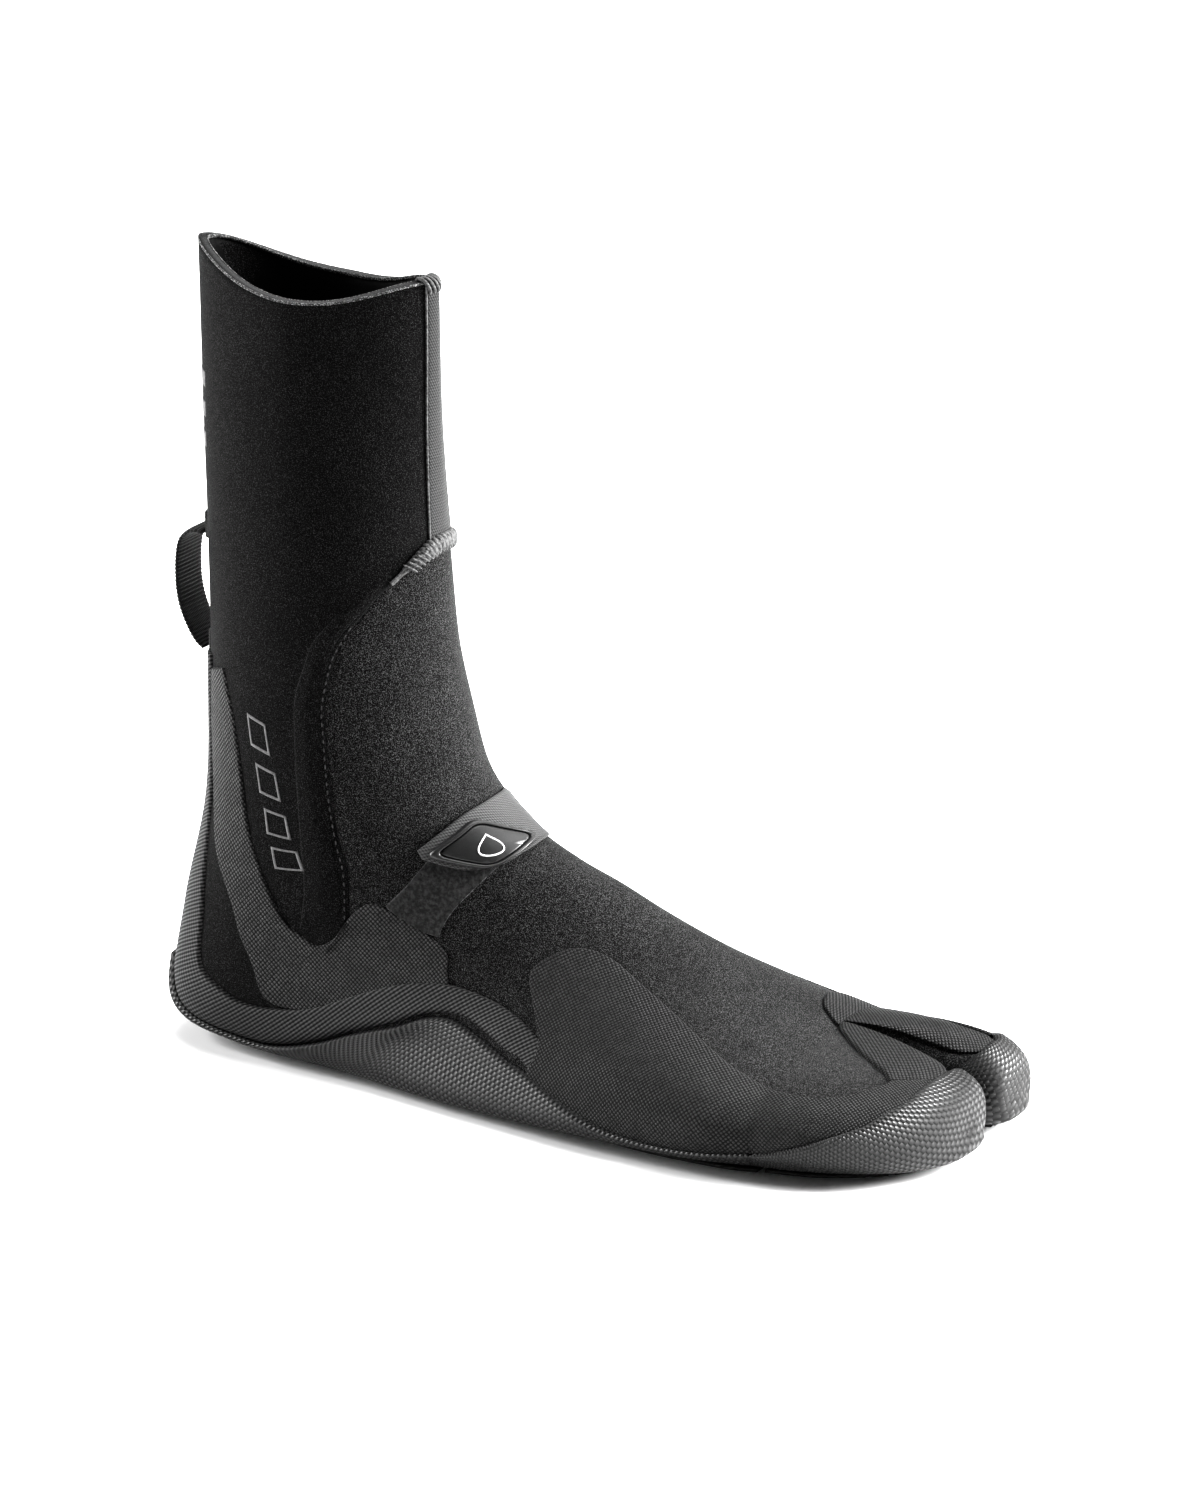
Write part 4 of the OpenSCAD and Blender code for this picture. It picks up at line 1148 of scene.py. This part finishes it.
def rim_tab():
    """Overlock threads that bind the rim where the front seam ends."""
    parts = []
    for k, v in enumerate((-9, -5.5, -2, 1.5, 5, 8.5)):
        a = np.linspace(0, 2 * math.pi, 26, endpoint=False)
        off = -1.5 + 2.45 * np.cos(a)
        up = -1.6 + 2.6 * np.sin(a)
        vv = v + 2.4 * np.sin(a)
        P = last(np.zeros(26), vv, off)
        P[:, 2] += up
        C = P.mean(0)
        parts.append(tube(f"rim_loop_{k}", P, P - C, .5, .15, .8, 8, closed=True))
    obj = joined("front_rim_overlock", parts)
    finish(obj, THREAD, "shaft")


def overlock_bead():
    path = [[1.98, -34], [1.90, -18], [1.87, -6], [1.87, 6], [1.92, 17], [2.01, 28], [2.13, 38]]
    P, N = on_last(path, 420, .55)
    s = np.linspace(0, 1, 420)
    r = 2.8 * np.clip((1.0 - s) / .4, .25, 1) * np.clip(s / .12, .3, 1)
    obj = tube("front_overlock_bead", P, N, r, .14, 1.5, 16, flat=.62)
    finish(obj, THREAD, "shaft", replaces=("front_bar_tack",))
    loops = stitch_row("front_overlock_threads", path[:6], 2.0, 1.5, 5.6, .42, slant=math.radians(62))
    finish(loops, THREAD, "shaft")


def side_seam(side, name, node_name):
    us = np.linspace(2.5, 5.5, 14)
    line = [[u, side * (seam_v(u) + 1.2)] for u in us]
    row = stitch_row(name + "_stitches", line, .42, 2.5, 1.35, .26)
    finish(row, DARK_THREAD, bend=True)
    inner = [[u, side * (seam_v(u) + 2.2)] for u in np.linspace(2.35, 5.5, 14)]
    outer = [[u, side * (seam_v(u) + 13.5)] for u in np.linspace(2.35, 5.5, 14)]
    WV, H = coons(inner, outer, rows=120, cols=10, lip=1.2, soft="tbse")
    ridge = rear_off(WV[..., 0], np.abs(WV[..., 1]))
    off = ridge + H * .55 - .25
    P, Q = lifted(WV, off)
    obj = grid_object(name, P, Q, marks={"lip": 1 - H})
    backed(obj, .3)
    return finish(obj, JERSEY_REAR, bend=True, replaces=(node_name,))


def outline_bar(name, corners, share, high=.14):
    """A flat printed outline of a four-sided bar on the rear panel."""
    c = np.array(corners, float)
    mid = c.mean(0)
    loop = []
    for k in range(4):
        a, b = c[k], c[(k + 1) % 4]
        loop += [a + (b - a) * t for t in np.linspace(0, 1, 10, endpoint=False)]
    loop = np.array(loop)
    inner = mid + (loop - mid) * share
    WV = np.array([loop, loop, inner, inner])
    ridge = rear_off(WV[..., 0], WV[..., 1])
    off = ridge + np.array([-.05, high, high, -.05])[:, None]
    return grid_object(name, *lifted(WV, off), ring=True)


def side_print():
    parts = []
    for k in range(4):
        u, v = 3.22 + .40 * k, 103 - 4.2 * k
        bar = [[u, v + 6.5], [u + .26, v + 4.5], [u + .34, v - 6.5], [u + .08, v - 4.5]]
        parts.append(outline_bar(f"bar_{k}", bar, .80))
    obj = joined("side_print_bars", parts)
    backed(obj, .05)
    return finish(obj, PRINT, bend=True, replaces=("side_print",))


def back_print():
    parts = []
    for k in range(3):
        u = .78 + .2 * k
        WV, H = coons([[u, 152], [u, 180], [u, 208]], [[u + .1, 152], [u + .1, 180], [u + .1, 208]],
                      rows=30, cols=5, lip=.3)
        parts.append(pressed(f"back_bar_{k}", WV, H, .16, tuck=.05))
    obj = joined("back_print_bars", parts)
    backed(obj, .05)
    return finish(obj, PRINT, "shaft", replaces=("back_print",))


# ---- Webbing ----
LOOP_LINE = [(-42.6, 121.6), (-45.0, 123.4), (-47.6, 127.2), (-50.0, 132.4), (-51.4, 138.0),
             (-51.8, 143.6), (-51.6, 149.4), (-50.6, 154.4), (-48.0, 157.4), (-45.4, 158.2), (-42.8, 158.2)]


def pull_loop():
    n = 300
    line = catmull(np.array(LOOP_LINE), np.linspace(0, len(LOOP_LINE) - 1, n))
    t = np.gradient(line, axis=0)
    t /= np.linalg.norm(t, axis=1)[:, None]
    nrm = np.stack([t[:, 1], -t[:, 0]], -1)
    s = lengths(line)
    a = np.linspace(0, 2 * math.pi, 28, endpoint=False)
    y = 7.4 * np.sign(np.cos(a)) * np.abs(np.cos(a)) ** .35
    h = .72 * np.sign(np.sin(a)) * np.abs(np.sin(a)) ** .6
    rib = 1 + .16 * np.sin(2 * math.pi * s / 1.25)
    off = h[None] * rib[:, None]
    P = np.stack([line[:, 0, None] + nrm[:, 0, None] * off,
                  np.broadcast_to(y, off.shape) * (1 + .012 * np.sin(2 * math.pi * s / 1.25))[:, None],
                  line[:, 1, None] + nrm[:, 1, None] * off], -1)
    centre = np.stack([line[:, 0], np.zeros(n), line[:, 1]], -1)[:, None]
    uv = np.stack([np.broadcast_to(s[:, None], off.shape), np.broadcast_to(y + h, off.shape)], -1)
    obj = grid_object("pull_loop_webbing", P, P + (P - centre), ring=True, uv=uv)
    activate(obj)
    bm = bmesh.new()
    bm.from_mesh(obj.data)
    bmesh.ops.holes_fill(bm, edges=[e for e in bm.edges if e.is_boundary])
    bmesh.ops.recalc_face_normals(bm, faces=bm.faces)
    bm.to_mesh(obj.data)
    bm.free()
    return finish(obj, WEBBING, bend=LOOP_BEND, replaces=("pull_loop",))


def loop_tabs():
    parts = []
    for k, (low, high) in enumerate(((1.76, 1.96), (2.68, 2.88))):
        WV, H = coons([[low, 165], [low, 180], [low, 195]], [[high, 165], [high, 180], [high, 195]],
                      rows=30, cols=10, lip=.7)
        parts.append(pressed(f"tab_{k}", WV, H, 1.15))
    for p in parts:
        unwrap(p)
    obj = joined("loop_tab_pair", parts)
    backed(obj, OVERLAY_BACK)
    finish(obj, WEBBING, "shaft", replaces=("loop_tabs",))
    row = stitch_row("loop_tab_stitches", [[1.81, 167], [1.81, 180], [1.81, 193]], 1.2, 1.5, 1.2, .2)
    finish(row, DARK_THREAD, "shaft")


STRAP_TOP = 2.4
STRAP_UPPER = [[5.50, -60], [4.95, -46], [4.50, -30], [4.28, -16], [4.25, -8], [4.25, 2], [4.28, 12],
               [4.36, 25], [4.55, 38], [4.74, 48]]
STRAP_LOWER = [[6.30, -58], [5.85, -46], [5.42, -30], [5.27, -16], [5.25, -8], [5.24, 2], [5.28, 12],
               [5.36, 25], [5.24, 38], [4.90, 48]]


def strap_lift(v):
    """The sewn part lies on the instep; the free part lies on its hook face."""
    t = np.clip((v + 20) / 16, 0, 1)
    return 1.1 + (STRAP_TOP - 1.1) * t * t * (3 - 2 * t)


def instep_strap():
    WV, H = coons(STRAP_UPPER, STRAP_LOWER, rows=170, cols=26, lip=.7, soft="tbse")
    lift = strap_lift(WV[..., 1])
    edge = np.linspace(0, 1, WV.shape[1])[None]
    curl = .9 * np.clip(edge - .62, 0, 1) ** 2 * 5 * np.exp(-((WV[..., 1] - 8) / 16) ** 2)
    off = lift + curl - .7 * (1 - H)
    P, Q = lifted(WV, off)
    obj = grid_object("instep_strap_webbing", P, Q, marks={"lip": 1 - H})
    unwrap(obj)
    backed(obj, .9)
    obj.data.materials.append(STRAP)
    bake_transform(obj)
    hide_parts("instep_strap", "strap_anchor")
    return obj


def hook_pad():
    top = [[4.32, 2], [4.36, 14], [4.44, 26], [4.6, 38], [4.76, 46]]
    bottom = [[5.27, 2], [5.32, 14], [5.40, 26], [5.28, 38], [4.92, 46]]
    WV, H = coons(top, bottom, rows=60, cols=18, lip=.4)
    off = STRAP_TOP - .95 - .35 * (1 - H) + .25 * np.clip(np.linspace(0, 1, WV.shape[1]) - .8, 0, 1)[None]
    P, Q = lifted(WV, off)
    obj = grid_object("hook_face", P, Q)
    backed(obj, .55)
    return finish(obj, HOOKS, "strap", replaces=("hook_pad",))


def landing_patch():
    top = [[4.42, 4], [4.5, 16], [4.62, 30], [4.95, 46], [5.3, 57], [5.5, 63.5]]
    bottom = [[5.25, 2], [5.32, 16], [5.48, 30], [5.88, 46], [6.2, 54], [6.42, 57.5]]
    WV, H = coons(top, bottom, rows=90, cols=30, lip=.6, soft="tbse")
    rng = np.random.default_rng(7)
    fuzz = rng.normal(0, .07, H.shape)
    off = H * .95 - .3 + fuzz * H
    P, Q = lifted(WV, off)
    obj = grid_object("landing_patch", P, Q, marks={"lip": 1 - H})
    backed(obj, .3)
    return finish(obj, PILE, bend=True, replaces=("pile_patch",))


# ---- Badge ----
BADGE_CORNERS = np.array([[4.84, 47.5], [4.42, 22], [5.08, -.5], [5.43, 31]])
BADGE_MID = BADGE_CORNERS.mean(0)
BADGE_LONG = np.array([-.125, 25.0])
BADGE_SHORT = np.array([.50, 4.2])


def badge_outline(round_off=.2, per=14):
    """The badge's rounded four-sided outline as [u, v] points."""
    points = []
    t = np.linspace(0, 1, per)[:, None]
    for k in range(4):
        before, corner, after = BADGE_CORNERS[k - 1], BADGE_CORNERS[k], BADGE_CORNERS[(k + 1) % 4]
        p, q = corner + (before - corner) * round_off, corner + (after - corner) * round_off
        points.append((1 - t) ** 2 * p + 2 * t * (1 - t) * corner + t * t * q)
        end = after + (corner - after) * round_off
        points.append(q + (end - q) * np.linspace(0, 1, per + 1)[1:-1, None])
    return np.concatenate(points)


def badge_ring(name, section, closed):
    outline = badge_outline()
    P, Q = [], []
    for share, up in section:
        wv = BADGE_MID + (outline - BADGE_MID) * share
        P.append(last(wv[:, 0], wv[:, 1], STRAP_TOP + up))
        Q.append(last(wv[:, 0], wv[:, 1], STRAP_TOP + up + 1))
    P, Q = np.array(P), np.array(Q)
    obj = grid_object(name, P, Q, ring=True)
    if closed:
        bm = bmesh.new()
        bm.from_mesh(obj.data)
        n = len(outline)
        bm.verts.ensure_lookup_table()
        for j in range(n):
            k = (j + 1) % n
            base = (len(section) - 1) * n
            face = bm.faces.new([bm.verts[x] for x in (j, k, base + k, base + j)])
            face.smooth = True
        bmesh.ops.recalc_face_normals(bm, faces=bm.faces)
        bm.to_mesh(obj.data)
        bm.free()
    return obj


def badge():
    ring = badge_ring("badge_surround", [(.985, -1.5), (1.0, -.6), (1.0, .3), (.99, .9), (.965, 1.35),
                                         (.93, 1.55), (.89, 1.55), (.855, 1.4), (.835, 1.0), (.83, .2),
                                         (.83, -1.2)], True)
    finish(ring, FRAME_RUBBER, "strap", replaces=("badge_frame",))
    plate = badge_ring("badge_plate", [(.825, .1), (.815, .75), (.80, 1.05), (.77, 1.2), (.72, 1.24),
                                       (.5, 1.26), (.25, 1.27), (.02, 1.28)], False)
    welded(plate, .4)
    backed(plate, .5)
    finish(plate, INSERT_RUBBER, "strap", replaces=("badge_insert",))
    t = np.linspace(0, 2 * math.pi, 72, endpoint=False)
    a = .26 * np.sin(t) * np.sin(t / 2) ** 1.3
    b = -.40 * np.cos(t) + .02
    wv = BADGE_MID + a[:, None] * BADGE_LONG + b[:, None] * BADGE_SHORT
    P = last(wv[:, 0], wv[:, 1], STRAP_TOP + 1.3)
    N = last(wv[:, 0], wv[:, 1], STRAP_TOP + 2.3) - P
    drop = tube("badge_drop_outline", P, N, .30, closed=True, flat=.5, sides=8)
    finish(drop, PRINT_LIGHT, "strap")


# ---- Stage ----
def stage():
    bpy.ops.mesh.primitive_plane_add(size=14, location=(0, 0, 0))
    floor = bpy.context.object
    floor.name = "floor"
    m, _, b = material("floor_paint", rough=.9, spec=.2)
    b.inputs["Base Color"].default_value = (.86, .86, .86, 1)
    floor.data.materials.append(m)
    world = bpy.data.worlds.new("studio")
    bpy.context.scene.world = world
    world.use_nodes = True
    world.node_tree.nodes["Background"].inputs["Color"].default_value = (1, 1, 1, 1)
    world.node_tree.nodes["Background"].inputs["Strength"].default_value = .10


def area_light(name, place, aim, size, power):
    data = bpy.data.lights.new(name, "AREA")
    data.shape = "RECTANGLE"
    data.size, data.size_y = size
    data.energy = power
    obj = bpy.data.objects.new(name, data)
    bpy.context.scene.collection.objects.link(obj)
    obj.location = place
    obj.rotation_euler = (Vector(aim) - Vector(place)).to_track_quat("-Z", "Y").to_euler()
    return obj


def lights():
    mid = (.04, 0, .1)
    area_light("toe_side", (1.45, .6, .85), mid, (.6, 1.0), 120)
    area_light("heel_side", (-1.4, -.45, .6), mid, (.4, 1.2), 40)
    area_light("overhead", (.1, .3, 2.0), mid, (1.4, 1.2), 34)
    area_light("backdrop", (0, 2.0, 1.6), (0, 2.0, 0), (3.0, 1.2), 50)
    area_light("camera_side", (.6, -2.0, .35), mid, (1.6, .3), 3)


def camera():
    data = bpy.data.cameras.new("camera")
    obj = bpy.data.objects.new("camera", data)
    bpy.context.scene.collection.objects.link(obj)
    obj.location = (1.1866, -2.0346, .8551)
    aim = Vector((.0581, .0620, .0843))
    obj.rotation_euler = (aim - obj.location).to_track_quat("-Z", "Y").to_euler()
    data.lens = 194.4
    data.sensor_width = 36
    data.clip_end = 30
    bpy.context.scene.camera = obj


def build():
    bpy.context.scene.view_settings.view_transform = "Standard"
    bpy.context.scene.view_settings.look = "High Contrast"
    camera()
    stage()
    lights()
    rear_panel()
    front_panel()
    lining()
    rim()
    insole()
    heel_band()
    ankle_strut(1, "ankle_strut_outer",
                ("ankle_strut_lateral", "shaft_strut_lateral", "arch_flap_lateral"))
    ankle_strut(-1, "ankle_strut_inner", ("ankle_strut_medial", "shaft_strut_medial", "arch_flap_medial"))
    toe_guard()
    toe_guard_inner()
    sole_wall()
    toe_cap_piece("outer_toe_cap_moulding", OUTER_TOES, TOE_SOLE_LINE["outer"], "outer_toe_cap")
    toe_cap_piece("big_toe_cap_moulding", BIG_TOE, TOE_SOLE_LINE["big"], "big_toe_cap")
    outsole()
    front_tape()
    rim_tab()
    overlock_bead()
    side_seam(1, "side_seam_outer", "side_seam_lateral")
    side_seam(-1, "side_seam_inner", "side_seam_medial")
    side_print()
    back_print()
    pull_loop()
    loop_tabs()
    landing_patch()
    hook_pad()
    instep_strap()
    badge()


build()
